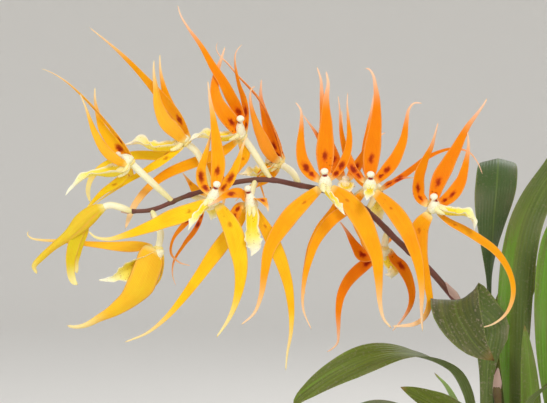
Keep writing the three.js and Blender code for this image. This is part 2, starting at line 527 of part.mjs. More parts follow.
// A closed skin over rings of equal length, each running anticlockwise round the way of travel. Both faces
// of a thin blade are split along like diagonals, so that they never cross.
function loft(rings) {
  const n = rings[0].length;
  const last = (rings.length - 1) * n;
  const index = [];
  for (let r = 0; r < last; r += n)
    for (let i = 0; i < n; i++) {
      const [a, b] = [r + i, r + ((i + 1) % n)];
      if (i < n / 2) index.push(a, b, b + n, a, b + n, a + n);
      else index.push(a, b, a + n, b, b + n, a + n);
    }
  for (let i = 2; i <= n - 1; i++) {
    const [p, q] = [i, (i + 1) % n];
    index.push(1, q, p, last + 1, last + p, last + q);
  }
  const geometry = new THREE.BufferGeometry().setFromPoints(rings.flat());
  geometry.setIndex(index);
  return solidOf(geometry);
}

// A round bar along a curve of points. radius is a function of t, which grows by the same at every point.
function bar(curve, radius, sides, steps, grow = 0) {
  const rings = [];
  let side = null;
  for (let k = 0; k <= steps; k++) {
    const t = k / steps;
    const [p, tangent] = [curve.getPoint(t), curve.getTangent(t)];
    if (!side) side = Math.abs(tangent.z) < 0.9 ? UP.clone().cross(tangent) : new THREE.Vector3(1, 0, 0);
    side.addScaledVector(tangent, -side.dot(tangent)).normalize();
    const normal = tangent.clone().cross(side);
    const r = radius(t) + grow;
    if (k === 0) p.addScaledVector(tangent, -grow);
    if (k === steps) p.addScaledVector(tangent, grow);
    rings.push(Array.from({ length: sides }, (_, i) => {
      const a = (i / sides) * 2 * Math.PI;
      return p.clone().addScaledVector(side, r * Math.cos(a)).addScaledVector(normal, r * Math.sin(a));
    }));
  }
  return loft(rings);
}

// A thin blade with a keel, for tepals, lips and bracts. faces: the ways its inner side looks, root to tip.
function keeled(points, wide, faces, outline, { thick, channel, step }, grow = 0) {
  const curve = line(points);
  const steps = Math.max(1, Math.round(curve.getLength() / step));
  const rings = [];
  for (let k = 0; k <= steps; k++) {
    const t = k / steps;
    const [p, tangent] = [curve.getPointAt(t), curve.getTangentAt(t)];
    const normal = turning(faces, t);
    normal.addScaledVector(tangent, -normal.dot(tangent)).normalize();
    const side = normal.clone().cross(tangent);
    const half = (wide / 2) * along(outline, t);
    const rise = half * along(channel, t);
    const depth = Math.min(thick / 2, half) + grow;
    if (k === steps) p.addScaledVector(tangent, grow);
    const corner = (a, b) => p.clone().addScaledVector(side, a).addScaledVector(normal, b);
    const ring = [corner(half, rise), corner(0, depth), corner(-half, rise), corner(0, -depth)];
    const out = half + grow;
    const grown = [corner(out, rise + grow), corner(0, depth), corner(-out, rise + grow),
      corner(-out, rise - grow), corner(0, -depth), corner(out, rise - grow)];
    rings.push(grow ? grown : ring);
  }
  return loft(rings);
}

// A strap leaf: folded along its midrib at the root, opening to a shallow channel.
function strap({ wide, across, path, fold = leaf.fold, steps = leaf.steps, shape = "leaf" }, grow = 0) {
  const curve = line(path.map(vector));
  const rings = [];
  for (let k = 0; k <= steps; k++) {
    const t = k / steps;
    const [p, tangent] = [curve.getPointAt(t), curve.getTangentAt(t)];
    const side = turning(across, t);
    side.addScaledVector(tangent, -side.dot(tangent)).normalize();
    const normal = tangent.clone().cross(side);
    const angle = THREE.MathUtils.lerp(fold, leaf.open, THREE.MathUtils.smoothstep(t, 0, leaf.opened));
    const half = (wide / 2) * along(outlines[shape], t);
    const [out, rise] = [half * Math.cos(angle) + grow, half * Math.sin(angle)];
    const [rib, edge] = [leaf.thick / 2 + grow, leaf.edge / 2 + grow];
    const corner = (a, b) => p.clone().addScaledVector(side, a).addScaledVector(normal, b);
    rings.push([
      corner(out, rise + edge), corner(0, rib), corner(-out, rise + edge),
      corner(-out, rise - edge), corner(0, -rib), corner(out, rise - edge),
    ]);
  }
  return loft(rings);
}

const joined = (parts) => wasm.Manifold.union(parts);

// The biggest piece of a cut solid: loose scraps are dropped.
const whole = (solid) => solid.decompose().reduce((a, b) => (b.volume() > a.volume() ? b : a));

function meshOf(name, solid, tone) {
  const { vertProperties, triVerts } = solid.getMesh();
  const geometry = new THREE.BufferGeometry();
  geometry.setAttribute("position", new THREE.BufferAttribute(vertProperties, 3));
  geometry.setIndex(new THREE.BufferAttribute(triVerts, 1));
  geometry.computeVertexNormals();
  const mesh = new THREE.Mesh(geometry, new THREE.MeshStandardMaterial({ metalness: 0, ...tone }));
  mesh.name = name;
  return mesh;
}

// A solid turned about the Z axis from [radius, height] pairs that start and end on it.
function turned(profile, sides) {
  const points = profile.map(([r, z]) => new THREE.Vector2(r, z));
  return solidOf(new THREE.LatheGeometry(points, sides).rotateX(Math.PI / 2));
}

// ---- pot and bark

// The pot's inner radius at a height, on its faceted wall.
function innerRadius(z) {
  const [low, high] = [pot.footRadius - pot.wall + 1, pot.rimRadius - 2 * pot.rimLip - pot.wall];
  return THREE.MathUtils.mapLinear(z, pot.floor, pot.height + 1, low, high);
}

function makePot() {
  const { height, footRadius, bodyRadius, rimRadius, rimHeight, rimLip, floor, sides } = pot;
  const shoulder = height - rimHeight;
  const wall = [[0, 0], [footRadius, 0], [bodyRadius, shoulder]];
  const rim = [[rimRadius - rimLip, shoulder + rimLip], [rimRadius, height - rimLip],
    [rimRadius - rimLip, height]];
  const outside = turned([...wall, ...rim, [0, height]], sides);
  const above = height + 1;
  const inside = turned([[0, floor], [innerRadius(floor), floor], [innerRadius(above), above],
    [0, above]], sides);
  const holes = Array.from({ length: pot.drainCount }, (_, i) => {
    const a = ((i + 0.5) / pot.drainCount) * 2 * Math.PI;
    const hole = new THREE.CylinderGeometry(pot.drainRadius, pot.drainRadius, 4 * floor, pot.drainSides);
    hole.rotateX(Math.PI / 2).translate(pot.drainRing * Math.cos(a), pot.drainRing * Math.sin(a), 0);
    return solidOf(hole);
  });
  return outside.subtract(inside).subtract(joined(holes));
}

// A repeatable draw between 0 and 1.
let seed = 7;
function draw() {
  seed = (seed * 16807) % 2147483647;
  return seed / 2147483647;
}
const between = ([low, high]) => low + (high - low) * draw();

// The bark fills the pot, with its top chips standing out of the bed. The cutters leave plain holes in it.
function makeBark(cutters) {
  const reach = (z) => innerRadius(z) * Math.cos(Math.PI / pot.sides) - 2 * GAP;
  const low = pot.floor + GAP;
  const { level, mound } = bark;
  const slope = [reach(level) * 0.6, level + mound * 0.7];
  const bed = turned([[0, low], [reach(low), low],
    [reach(level), level], slope, [0, level + mound]], bark.sides);
  const chips = Array.from({ length: bark.chips }, (_, i) => {
    const r = (reach(level) - bark.chipLong[0]) * Math.sqrt((i + 0.5) / bark.chips);
    const a = i * 2.39996; // the golden angle, which spreads them evenly
    const chip = new THREE.BoxGeometry(...[bark.chipLong, bark.chipWide, bark.chipThick].map(between));
    chip.rotateX(between(bark.chipTilt)).rotateY(between(bark.chipTilt)).rotateZ(between([0, Math.PI]));
    const z = level + mound * (1 - r / reach(level));
    return solidOf(chip.translate(r * Math.cos(a), r * Math.sin(a), z));
  });
  return whole(joined([bed, ...chips]).subtract(joined(cutters)));
}

// ---- plant

// A pseudobulb: egg-shaped from the front, flattened from the side, with shallow ribs.
function makeBulb({ foot, tall, wide, thick, turn }, grow = 0) {
  const { profile, sides, sunk, rib } = bulb;
  const rings = profile.map(([t, share], k) => {
    const past = k === 0 ? -grow : k === profile.length - 1 ? grow : 0;
    const z = bark.level - sunk + t * (tall + sunk) + past;
    return Array.from({ length: sides }, (_, i) => {
      const a = (i / sides) * 2 * Math.PI;
      const r = share * (1 - (i % 2) * rib) / 2;
      const p = new THREE.Vector3(wide * r * Math.cos(a), thick * r * Math.sin(a), 0);
      p.addScaledVector(p.clone().normalize(), grow);
      p.applyAxisAngle(UP, THREE.MathUtils.degToRad(turn));
      return p.add(new THREE.Vector3(foot[0], foot[1], z));
    });
  });
  return loft(rings);
}

// A small bract that clasps a stalk or the spike.
const makeBract = (at, to, wide, grow) =>
  keeled([at, at.clone().lerp(to, 0.5), to], wide, bract.faces, outlines.bract, bract, grow);

function makeSpike(grow = 0) {
  const radius = (t) => THREE.MathUtils.lerp(spike.foot, spike.tip, t);
  const stem = bar(line(spike.path.map(vector)), radius, spike.sides, spike.path.length - 1, grow);
  const bare = sheaths.map(({ at, to, wide }) => makeBract(vector(at), vector(to), wide, grow));
  const flowering = [...blooms, shutBud].map(({ from, heart }) => {
    const [a, b] = [vector(from), vector(heart)];
    const to = a.clone().lerp(b, jointBract.long / a.distanceTo(b)).add(vector(jointBract.droop));
    return makeBract(a, to, jointBract.wide, grow);
  });
  return joined([stem, ...bare, ...flowering]);
}

// Stalk, column and lip of a bloom. The stalk passes through the hub and runs on as the column, and the lip
// springs from between them, just ahead of the hub.
function makePale({ heart, from, axis, column, lip: [wide, faces, path, shape = "lip"] }, grow = 0) {
  const [root, middle, cap] = [vector(from), vector(heart), fromHeart(heart, column)];
  const way = vector(axis).normalize();
  const ahead = middle.clone().addScaledVector(way, stalk.ahead);
  const straight = Math.min(stalk.straight, root.distanceTo(middle) * 0.4);
  const behind = middle.clone().addScaledVector(way, -straight);
  const curve = line([root, behind, middle, ahead, cap]);
  const stem = bar(curve, (t) => along(stalk.radii, t), stalk.sides, stalk.steps, grow);
  const points = [ahead, ...path.map((p) => fromHeart(heart, p))];
  return joined([stem, keeled(points, wide * GRID, faces, outlines[shape], lip, grow)]);
}

// The tepals of a bloom round their hub: each springs from the hub's ring, on the side it sets off to.
function makeTepals({ heart, axis, tepals }) {
  const [middle, way] = [vector(heart), vector(axis).normalize()];
  const ends = [-hub.half, hub.half].map((s) => middle.clone().addScaledVector(way, s));
  const ring = bar(new THREE.LineCurve3(...ends), () => hub.radius, hub.sides, 1);
  const blades = tepals.map(([wide, faces, path, shape = "tepal"]) => {
    const points = path.map((p) => fromHeart(heart, p));
    const out = points[0].clone().sub(middle);
    out.addScaledVector(way, -out.dot(way)).setLength(hub.ring);
    return keeled([middle.clone().add(out), ...points], wide * GRID, faces, outlines[shape], tepal);
  });
  return joined([ring, ...blades]);
}

function makePod() {
  const { heart, pod, podRadii, podSides, tips } = shutBud;
  const spans = pod.length - 1;
  const at = (path) => path.map((p) => fromHeart(heart, p));
  const body = bar(line(at(pod)), (t) => podRadii[Math.round(t * spans)], podSides, spans);
  const blades = tips.map(([wide, faces, path]) =>
    keeled(at(path), wide * GRID, faces, outlines.ribbon, tepal));
  return joined([body, ...blades]);
}

function makePodStalk(grow = 0) {
  const points = [vector(shutBud.from), ...shutBud.stalk.map((p) => fromHeart(shutBud.heart, p))];
  return bar(line(points), (t) => along(stalk.radii, t), stalk.sides, 2 * (points.length - 1), grow);
}

// ---- the plant in its pot

const plant = new THREE.Group();
const add = (name, solid, tone) => plant.add(meshOf(name, solid, tone));

const grownBulbs = bulbs.map((shape) => makeBulb(shape, GAP));
const grownSpike = makeSpike(GAP);
const grownLeaves = leaves.map((blade) => strap(blade, GAP));

add("pot", makePot(), tones.clay);
add("bark_mix", makeBark([...grownBulbs, ...grownLeaves, grownSpike]), tones.bark);
bulbs.forEach((shape) => add(shape.name, makeBulb(shape), tones.bulb));
leaves.forEach((blade, i) => {
  const before = grownLeaves.slice(0, i);
  add(`leaf_${i + 1}`, whole(strap(blade).subtract(joined([...grownBulbs, ...before]))), tones.leaf);
});
add("spike", whole(makeSpike().subtract(joined([...grownBulbs, ...grownLeaves]))), tones.spike);
blooms.forEach((bloom) => {
  const tepals = makeTepals(bloom).subtract(joined([makePale(bloom, GAP), grownSpike]));
  add(`${bloom.name}_tepals`, whole(tepals), tones.tepal);
  add(`${bloom.name}_lip_and_stalk`, whole(makePale(bloom).subtract(grownSpike)), tones.pale);
});
add(`${shutBud.name}_pod`, whole(makePod().subtract(makePodStalk(GAP))), tones.bud);
add(`${shutBud.name}_stalk`, whole(makePodStalk().subtract(grownSpike)), tones.pale);

export default plant;
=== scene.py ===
# A brassia orchid in flower in its clay pot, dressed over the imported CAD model.
# Shapes are worked out in millimetres, and each piece is scaled to metres when it is finished.
import math
import random
from functools import partial

import bmesh
import bpy
from mathutils import Matrix, Vector, noise


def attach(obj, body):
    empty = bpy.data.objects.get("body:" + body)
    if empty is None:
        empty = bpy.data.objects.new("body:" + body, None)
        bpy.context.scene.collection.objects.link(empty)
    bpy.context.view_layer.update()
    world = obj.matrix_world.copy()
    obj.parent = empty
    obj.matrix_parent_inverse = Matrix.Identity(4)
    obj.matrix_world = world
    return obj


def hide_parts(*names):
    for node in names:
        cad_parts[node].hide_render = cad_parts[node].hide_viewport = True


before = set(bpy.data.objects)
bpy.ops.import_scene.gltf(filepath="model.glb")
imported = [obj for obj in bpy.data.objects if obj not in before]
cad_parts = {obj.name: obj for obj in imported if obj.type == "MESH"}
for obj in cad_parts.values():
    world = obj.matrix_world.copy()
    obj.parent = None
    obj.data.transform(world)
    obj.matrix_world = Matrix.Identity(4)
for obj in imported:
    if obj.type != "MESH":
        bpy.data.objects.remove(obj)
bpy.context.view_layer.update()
print("frame loaded:", len(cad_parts), "nodes")

scene = bpy.context.scene
mm = 0.001
mergeGap = 0.0004  # closer vertices are one
noSpot = -50  # mm from the root, where no blade reaches
# What a vertex carries for the finishes.
marks = ("share", "reach", "offset", "rim", "inner", "tone", "spotNear", "spotFar", "spotSize", "stain")

camera = {
    "eye": (-136, -912, 346),  # mm
    "lens": 100,
    "sensor": 36,
}

studio = {
    "floorRadius": 3.4,  # m
    "coveRadius": 1.1,
    "wallHeight": 2.6,
    "coveSteps": 10,
    "steps": 96,
    "paper": "#EAE8E4",
    "air": "#FFFFFF",
    "airStrength": 0.72,
    "aim": (-0.1, 0.0, 0.3),
    "lamps": {
        "keyLamp": {"place": (0.35, -1.7, 1.25), "size": 0.6, "power": 14},
        "fillLamp": {"place": (-1.5, -1.1, 0.7), "size": 1.1, "power": 5},
        "backLamp": {"place": (0.6, 1.5, 1.5), "size": 1.0, "power": 8},
    },
}


def shareAt(pairs, t):
    # The value at t of a list of (t, value) pairs, joined smoothly.
    k = 1
    while k < len(pairs) - 1 and pairs[k][0] < t:
        k += 1
    (t0, v0), (t1, v1) = pairs[k - 1], pairs[k]
    steep = (v1 - v0) / (t1 - t0)
    slopes = []
    for a, b in ((k - 2, k - 1), (k, k + 1)):
        if 0 <= a and b < len(pairs):
            other = (pairs[b][1] - pairs[a][1]) / (pairs[b][0] - pairs[a][0])
            slopes.append(0 if other * steep <= 0 else (other + steep) / 2)
        else:
            slopes.append(steep)
    s = min(max((t - t0) / (t1 - t0), 0), 1)
    gap = t1 - t0
    rising = v0 + (v1 - v0) * s * s * (3 - 2 * s)
    return rising + gap * (slopes[0] * s * (1 - s) ** 2 - slopes[1] * s * s * (1 - s))


def turning(directions, t):
    # The direction at t of a list of evenly spaced directions.
    s = t * (len(directions) - 1)
    k = min(int(s), max(0, len(directions) - 2))
    first = Vector(directions[k])
    return first.lerp(Vector(directions[min(k + 1, len(directions) - 1)]), s - k)


def squareTo(direction, way):
    # The direction made square to a way of travel.
    flat = direction - way * direction.dot(way)
    return flat.normalized()


def smoothLine(knots, count, fine=14):
    # Evenly spaced stops on a smooth line through the knots: (point, way, place among the knots).
    knots = [Vector(k) for k in knots]
    spread = [2 * knots[0] - knots[1], *knots, 2 * knots[-1] - knots[-2]]
    trail = []
    for k in range(len(knots) - 1):
        before, start, end, after = spread[k:k + 4]
        d0, d1, d2 = [max((b - a).length, 1e-6) ** 0.5
                      for a, b in ((before, start), (start, end), (end, after))]
        leave = ((start - before) / d0 - (end - before) / (d0 + d1) + (end - start) / d1) * d1
        arrive = ((end - start) / d1 - (after - start) / (d1 + d2) + (after - end) / d2) * d1
        for n in range(fine):
            s = n / fine
            point = start + leave * s
            point += (3 * (end - start) - 2 * leave - arrive) * s ** 2
            point += (2 * (start - end) + leave + arrive) * s ** 3
            trail.append((point, (k + s) / (len(knots) - 1)))
    trail.append((knots[-1], 1))
    run = [0]
    for (a, _), (b, _) in zip(trail, trail[1:]):
        run.append(run[-1] + (b - a).length)
    stops = []
    k = 0
    for n in range(count + 1):
        want = run[-1] * n / count
        while k < len(run) - 2 and run[k + 1] < want:
            k += 1
        s = (want - run[k]) / max(run[k + 1] - run[k], 1e-9)
        stops.append((trail[k][0].lerp(trail[k + 1][0], s), trail[k][1] * (1 - s) + trail[k + 1][1] * s))
    ways = [(stops[min(n + 1, count)][0] - stops[max(n - 1, 0)][0]).normalized() for n in range(count + 1)]
    return [(point, way, at) for (point, at), way in zip(stops, ways)], run[-1]


def addObject(name, data):
    made = bpy.data.objects.new(name, data)
    scene.collection.objects.link(made)
    return made


def toMesh(bm, name):
    mesh = bpy.data.meshes.new(name)
    bm.to_mesh(mesh)
    bm.free()
    return mesh


def turnProfile(bm, profile, steps):
    # A profile of (radius, height), turned once round the upright axis.
    verts = [bm.verts.new((r, 0, z)) for r, z in profile]
    edges = [bm.edges.new(pair) for pair in zip(verts, verts[1:])]
    bmesh.ops.spin(bm, geom=verts + edges, cent=(0, 0, 0), axis=(0, 0, 1), angle=2 * math.pi, steps=steps,
                   use_merge=True)
    bmesh.ops.remove_doubles(bm, verts=bm.verts, dist=mergeGap)
    bmesh.ops.recalc_face_normals(bm, faces=bm.faces)


def roundEdges(bm, edges, size, steps):
    bmesh.ops.bevel(bm, geom=edges, offset=size, offset_type="OFFSET", segments=steps, profile=0.5,
                    affect="EDGES", material=-1, clamp_overlap=True)


def newSkin():
    # A bmesh whose vertices carry the marks that the finishes read.
    bm = bmesh.new()
    for name in marks:
        bm.verts.layers.float.new(name)
    return bm


def mark(bm, vert, **values):
    for name, value in values.items():
        vert[bm.verts.layers.float[name]] = value


def rollUp(bm, rows, around, place):
    # A grid rolled up round a line: place sets each vertex from its row and its turn, 0 to 1.
    grid = bmesh.ops.create_grid(bm, x_segments=rows, y_segments=around, size=1)["verts"]
    for vert in grid:
        row = round((vert.co.x + 1) / 2 * rows)
        step = round((vert.co.y + 1) / 2 * around) % around
        place(vert, row, step / around)
    bmesh.ops.remove_doubles(bm, verts=grid, dist=mergeGap)


def addTube(bm, knots, radiusAt, rows, around, tone=0.5, flat=1, faces=None):
    # A round bar with closed ends. radiusAt reads the place among the knots.
    stops, length = smoothLine(knots, rows - 2)
    side = Vector((0, 0, 1)).cross(stops[0][1])
    if side.length < 0.4:
        side = Vector((1, 0, 0))
    rings = []
    for point, way, at in stops:
        side = squareTo(Vector(faces) if faces else side, way)
        rings.append((point, side, way.cross(side), radiusAt(at), at))
    rings = [rings[0], *rings, rings[-1]]

    def place(vert, row, turn):
        point, side, across, radius, at = rings[row]
        size = 0 if row in (0, rows) else radius
        angle = 2 * math.pi * turn
        vert.co = point + side * size * math.cos(angle) + across * size * flat * math.sin(angle)
        mark(bm, vert, share=at, reach=at * length, offset=radius * (angle - math.pi), tone=tone,
             inner=0.5 + 0.5 * math.cos(angle))

    rollUp(bm, rows, around, place)


bladeForm = {
    "waveSoft": 0.7,  # how gently the waves begin and end along the blade
    "waveEdge": 2.2,  # how near the margin they keep
    "offBeat": 1.9,  # radians between the waves of the two margins
    "frillBeat": 1.7,  # frills to a wave
    "keelWide": 0.16,  # share of half the width
    "rimThin": 0.5,  # how much thinner the margin is
}


def addBlade(bm, knots, wide, faces, cut, tone=0.5, spots=(noSpot, noSpot, 1, 0), seed=0, outline=None):
    # A thin keeled blade whose section is a bent lens. faces are the ways its inner side looks.
    rows, around = cut["rows"], cut["around"]
    outline = outline or cut["outline"]
    stops, length = smoothLine(knots, rows)
    frames = []
    for n, (point, way, _) in enumerate(stops):
        t = n / rows
        normal = squareTo(turning(faces, t), way)
        half = wide / 2 * shareAt(outline, t)
        frames.append((point, normal.cross(way), normal, half, half * shareAt(cut["channel"], t), t))
    drift = random.Random(seed)
    phase, sway = drift.uniform(0, 2 * math.pi), drift.uniform(0.8, 1.2)

    def place(vert, row, turn):
        point, side, normal, half, rise, t = frames[row]
        across = -math.cos(2 * math.pi * turn)
        lens = math.sin(2 * math.pi * turn)
        if row in (0, rows):
            half = lens = rise = 0
        edge = abs(across)
        thick = min(cut["thick"] / 2, half * cut["roll"])
        waved = min(max((t - cut["waveFrom"]) / (1 - cut["waveFrom"]), 0), 1)
        window = math.sin(math.pi * waved) ** bladeForm["waveSoft"]
        beat = 2 * math.pi * cut["waves"] * sway * t + phase + (bladeForm["offBeat"] if across < 0 else 0)
        wave = cut["waveHigh"] * half * window * edge ** bladeForm["waveEdge"] * math.sin(beat)
        keel = cut["keel"] * math.exp(-(across / bladeForm["keelWide"]) ** 2) * half
        level = rise * edge ** cut["bend"] + lens * thick * (1 - bladeForm["rimThin"] * edge) + wave
        reach = half * across * (1 + cut["frill"] * window * edge * math.cos(bladeForm["frillBeat"] * beat))
        vert.co = point + side * reach + normal * (level - keel)
        mark(bm, vert, share=t, reach=t * length, offset=reach, rim=edge, inner=1.0 if lens > 0 else 0.0,
             tone=tone, spotNear=spots[0], spotFar=spots[1], spotSize=spots[2], stain=spots[3])

    rollUp(bm, rows, around, place)


def addBead(bm, centre, way, sizes, tone, **values):
    # An egg-shaped bead, long along its way.
    spot = Matrix.LocRotScale(centre, way.to_track_quat("Z", "Y"), Vector(sizes))
    for vert in bmesh.ops.create_uvsphere(bm, u_segments=14, v_segments=9, radius=1, matrix=spot)["verts"]:
        mark(bm, vert, tone=tone, **values)


def finishPiece(bm, name, finish, nodes, merge=True):
    # The skin becomes a piece of the object that stands for its CAD nodes.
    if merge:
        bmesh.ops.remove_doubles(bm, verts=bm.verts, dist=mergeGap)
        bmesh.ops.recalc_face_normals(bm, faces=bm.faces)
    bmesh.ops.scale(bm, vec=Vector((mm, mm, mm)), verts=bm.verts)
    for face in bm.faces:
        face.smooth = True
    piece = addObject(name, toMesh(bm, name))
    piece.data.materials.append(finish)
    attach(piece, "root")
    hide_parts(*nodes)
    return piece


def shade(code):
    # An sRGB hex colour in the linear values that shaders use.
    parts = [int(code[k:k + 2], 16) / 255 for k in (1, 3, 5)]
    return (*[c / 12.92 if c <= 0.04045 else ((c + 0.055) / 1.055) ** 2.4 for c in parts], 1)


def addNode(tree, kind, inputs=(), pick=0, stops=(), **settings):
    # Adds a node with its settings, values or incoming links, and a ramp's stops; gives the picked output.
    node = tree.nodes.new("ShaderNode" + kind)
    for key, value in settings.items():
        setattr(node, key, value)
    for key, value in inputs.items() if isinstance(inputs, dict) else enumerate(inputs):
        if isinstance(value, bpy.types.NodeSocket):
            tree.links.new(value, node.inputs[key])
        else:
            node.inputs[key].default_value = shade(value) if isinstance(value, str) else value
    for k, (at, tone) in enumerate(stops):
        band = node.color_ramp.elements
        element = band[k] if k < len(band) else band.new(at)
        element.position = at
        element.color = shade(tone) if isinstance(tone, str) else (tone, tone, tone, 1)
    return node.outputs[pick]


def newFinish(name, body, reads=()):
    # A Principled shader with the values that are the same all over. Gives the finish, the way to add a node
    # to it, the place on the piece, and the marks that its patterns read.
    finish = bpy.data.materials.new(name)
    finish.use_nodes = True
    shader = finish.node_tree.nodes["Principled BSDF"]
    for key, value in body.items():
        shader.inputs[key].default_value = value
    add = partial(addNode, finish.node_tree)
    place = add("TexCoord", pick="Object")
    return finish, add, place, *[add("Attribute", pick="Fac", attribute_name=key) for key in reads]


def closeFinish(finish, add, colour, layers, height, strength, deep):
    # Lays colours over the ground, each (how much it covers, its colour), and adds the relief, deep in m.
    for cover, tone in layers:
        colour = add("Mix", {0: cover, 6: colour, 7: tone}, 2, data_type="RGBA")
    bump = add("Bump", {"Strength": strength, "Distance": deep, "Height": height})
    shader = finish.node_tree.nodes["Principled BSDF"]
    finish.node_tree.links.new(colour, shader.inputs["Base Color"])
    finish.node_tree.links.new(bump, shader.inputs["Normal"])
    return finish


petal = {
    "ground": [(0.0, "#E6DC34"), (0.25, "#FFDF24"), (0.5, "#FFC41A"), (0.75, "#FCA208"), (1.0, "#F48C00")],
    "clouds": [(0.32, "#FFFFD4"), (0.7, "#FFDCAE")],
    "tips": [(0.2, "#FDEFA8"), (0.75, "#FBD3B2")],
    "flush": "#EC7402",
    "margin": "#FAAA66",
    "back": "#FFC24A",
    "root": "#FFF3A6",
    "spot": "#8C1404",
    "halo": "#D9480A",
    "patch": 14,  # mm, size of the slow changes of tone
    "spotLong": 2.3,  # mm, half the length of a spot
    "spotWide": 1.25,
    "ragged": 3.0,  # mm, how far a spot's edge strays
    "tatter": 2.4,  # mm between the rags of the edge
    "freckle": 2.4,  # mm between freckles at the root
    "streakLong": 16,  # mm
    "veinGap": 0.9,  # mm, coarser than life so that the veins show
    "grain": 0.8,  # mm
}


def makePetalFinish():
    # Orchid petal, wax-smooth living flesh: soft broad highlights, glowing edges, fine veins, dark spots.
    finish, add, place, share, rim, inner, reach, offset, tone, strong, near, far, size = newFinish(
        "orchidPetal", {
            "Roughness": 0.5, "IOR": 1.4, "Subsurface Weight": 0.12, "Subsurface Scale": 0.0012,
            "Specular IOR Level": 0.14, "Subsurface Radius": (1.0, 0.4, 0.08),
        }, ("share", "rim", "inner", "reach", "offset", "tone", "stain", "spotNear", "spotFar", "spotSize"))
    ground = add("ValToRGB", [tone], stops=petal["ground"])
    cloud = add("TexNoise", {"Vector": place, "Scale": 1000 / petal["patch"], "Detail": 3.0})
    warm = add("ValToRGB", [cloud], stops=petal["clouds"])
    ground = add("Mix", {0: 0.6, 6: ground, 7: warm}, 2, data_type="RGBA", blend_type="MULTIPLY")

    # Long streaks flush the middle of the blade, and fine veins run along it.
    stretched = add("Math", [reach, petal["streakLong"]], operation="DIVIDE")
    lengthways = add("CombineXYZ", [offset, stretched, far])
    streak = add("TexNoise", {"Vector": lengthways, "Scale": 1.1, "Detail": 4.0})
    flush = add("MapRange", [streak, 0.46, 0.74, 0.0, 0.5])
    for fade in ([rim, 0.1, 0.8, 1.0, 0.25], [share, 0.1, 0.7, 1.0, 0.15], [tone, 0.2, 0.9, 0.35, 1.0]):
        flush = add("Math", [flush, add("MapRange", fade)], operation="MULTIPLY")
    outside = add("MapRange", [inner, 0.0, 1.0, 0.3, 0.0])
    veins = add("Math", [offset, 2 * math.pi / petal["veinGap"]], operation="MULTIPLY")
    veins = add("Math", [veins], operation="SINE")
    dim = add("MapRange", [veins, -1.0, 1.0, 0.0, 0.11])

    # The margins and the tips turn rosy, and the root is pale.
    margin = add("MapRange", [rim, 0.76, 1.0, 0.0, 0.55])
    tips = add("ValToRGB", [tone], stops=petal["tips"])
    late = add("MapRange", [share, 0.62, 0.96, 0.0, 0.9], interpolation_type="SMOOTHSTEP")
    pale = add("MapRange", [reach, 1.0, 5.0, 0.8, 0.0])

    # Two ragged spots lie one behind the other on the inner side, with a glow round them.
    stray = add("TexNoise", {"Vector": place, "Scale": 1000 / petal["tatter"], "Detail": 3.0}, "Color")
    stray = add("VectorMath", [stray, (0.5, 0.5, 0.5)], operation="SUBTRACT")
    stray = add("VectorMath", {0: stray, "Scale": petal["ragged"]}, operation="SCALE")
    gaps = []
    for start, part in ((near, 0.75), (far, 1.1)):
        along = add("Math", [reach, start], operation="SUBTRACT")
        gap = add("CombineXYZ", [along, offset])
        gap = add("VectorMath", [gap, stray], operation="ADD")
        shrink = (1 / petal["spotLong"] / part, 1 / petal["spotWide"] / part, 0)
        gap = add("VectorMath", [gap, shrink], operation="MULTIPLY")
        gaps.append(add("VectorMath", [gap], "Value", operation="LENGTH"))
    nearest = add("Math", gaps, operation="MINIMUM")
    nearest = add("Math", [nearest, size], operation="DIVIDE")
    shown = add("Math", [inner, strong], operation="MULTIPLY")
    halo = add("MapRange", [nearest, 0.8, 1.7, 0.8, 0.0])
    halo = add("Math", [halo, shown], operation="MULTIPLY")
    blotch = add("MapRange", [nearest, 0.45, 1.15, 0.95, 0.0])
    cells = add("TexVoronoi", {"Vector": place, "Scale": 1000 / petal["freckle"]}, "Distance")
    freckle = add("MapRange", [cells, 0.14, 0.3, 0.6, 0.0])
    for fade in ([reach, 8.0, 18.0, 1.0, 0.0], [cloud, 0.5, 0.56, 0.0, 1.0]):
        freckle = add("Math", [freckle, add("MapRange", fade)], operation="MULTIPLY")
    spotted = add("Math", [blotch, freckle], operation="MAXIMUM")
    spotted = add("Math", [spotted, shown], operation="MULTIPLY")

    layers = [(flush, petal["flush"]), (outside, petal["back"]), (dim, petal["halo"]),
              (margin, petal["margin"]), (late, tips), (pale, petal["root"]), (halo, petal["halo"]),
              (spotted, petal["spot"])]
    grain = add("TexNoise", {"Vector": place, "Scale": 1000 / petal["grain"], "Detail": 4.0})
    height = add("Math", [veins, 0.35, grain], operation="MULTIPLY_ADD")
    return closeFinish(finish, add, ground, layers, height, 0.35, 0.00018)


lipPaint = {
    "along": [(0.0, "#FFF2AA"), (0.12, "#FFE440"), (0.42, "#FFE12C"), (0.62, "#FFEE70"), (0.86, "#FFFBDA")],
    "callus": "#FFF6BE",
    "margin": "#FFFCE4",
    "dot": "#A8561A",
    "dotShare": [(0.0, 0.9), (0.6, 0.8), (0.8, 0.5), (0.95, 0.0)],
    "dotGap": 1.4,  # mm
    "patch": 6,  # mm, size of the groups of dots
    "fold": 1.4,  # mm, width of the wrinkles in the ruffle
}


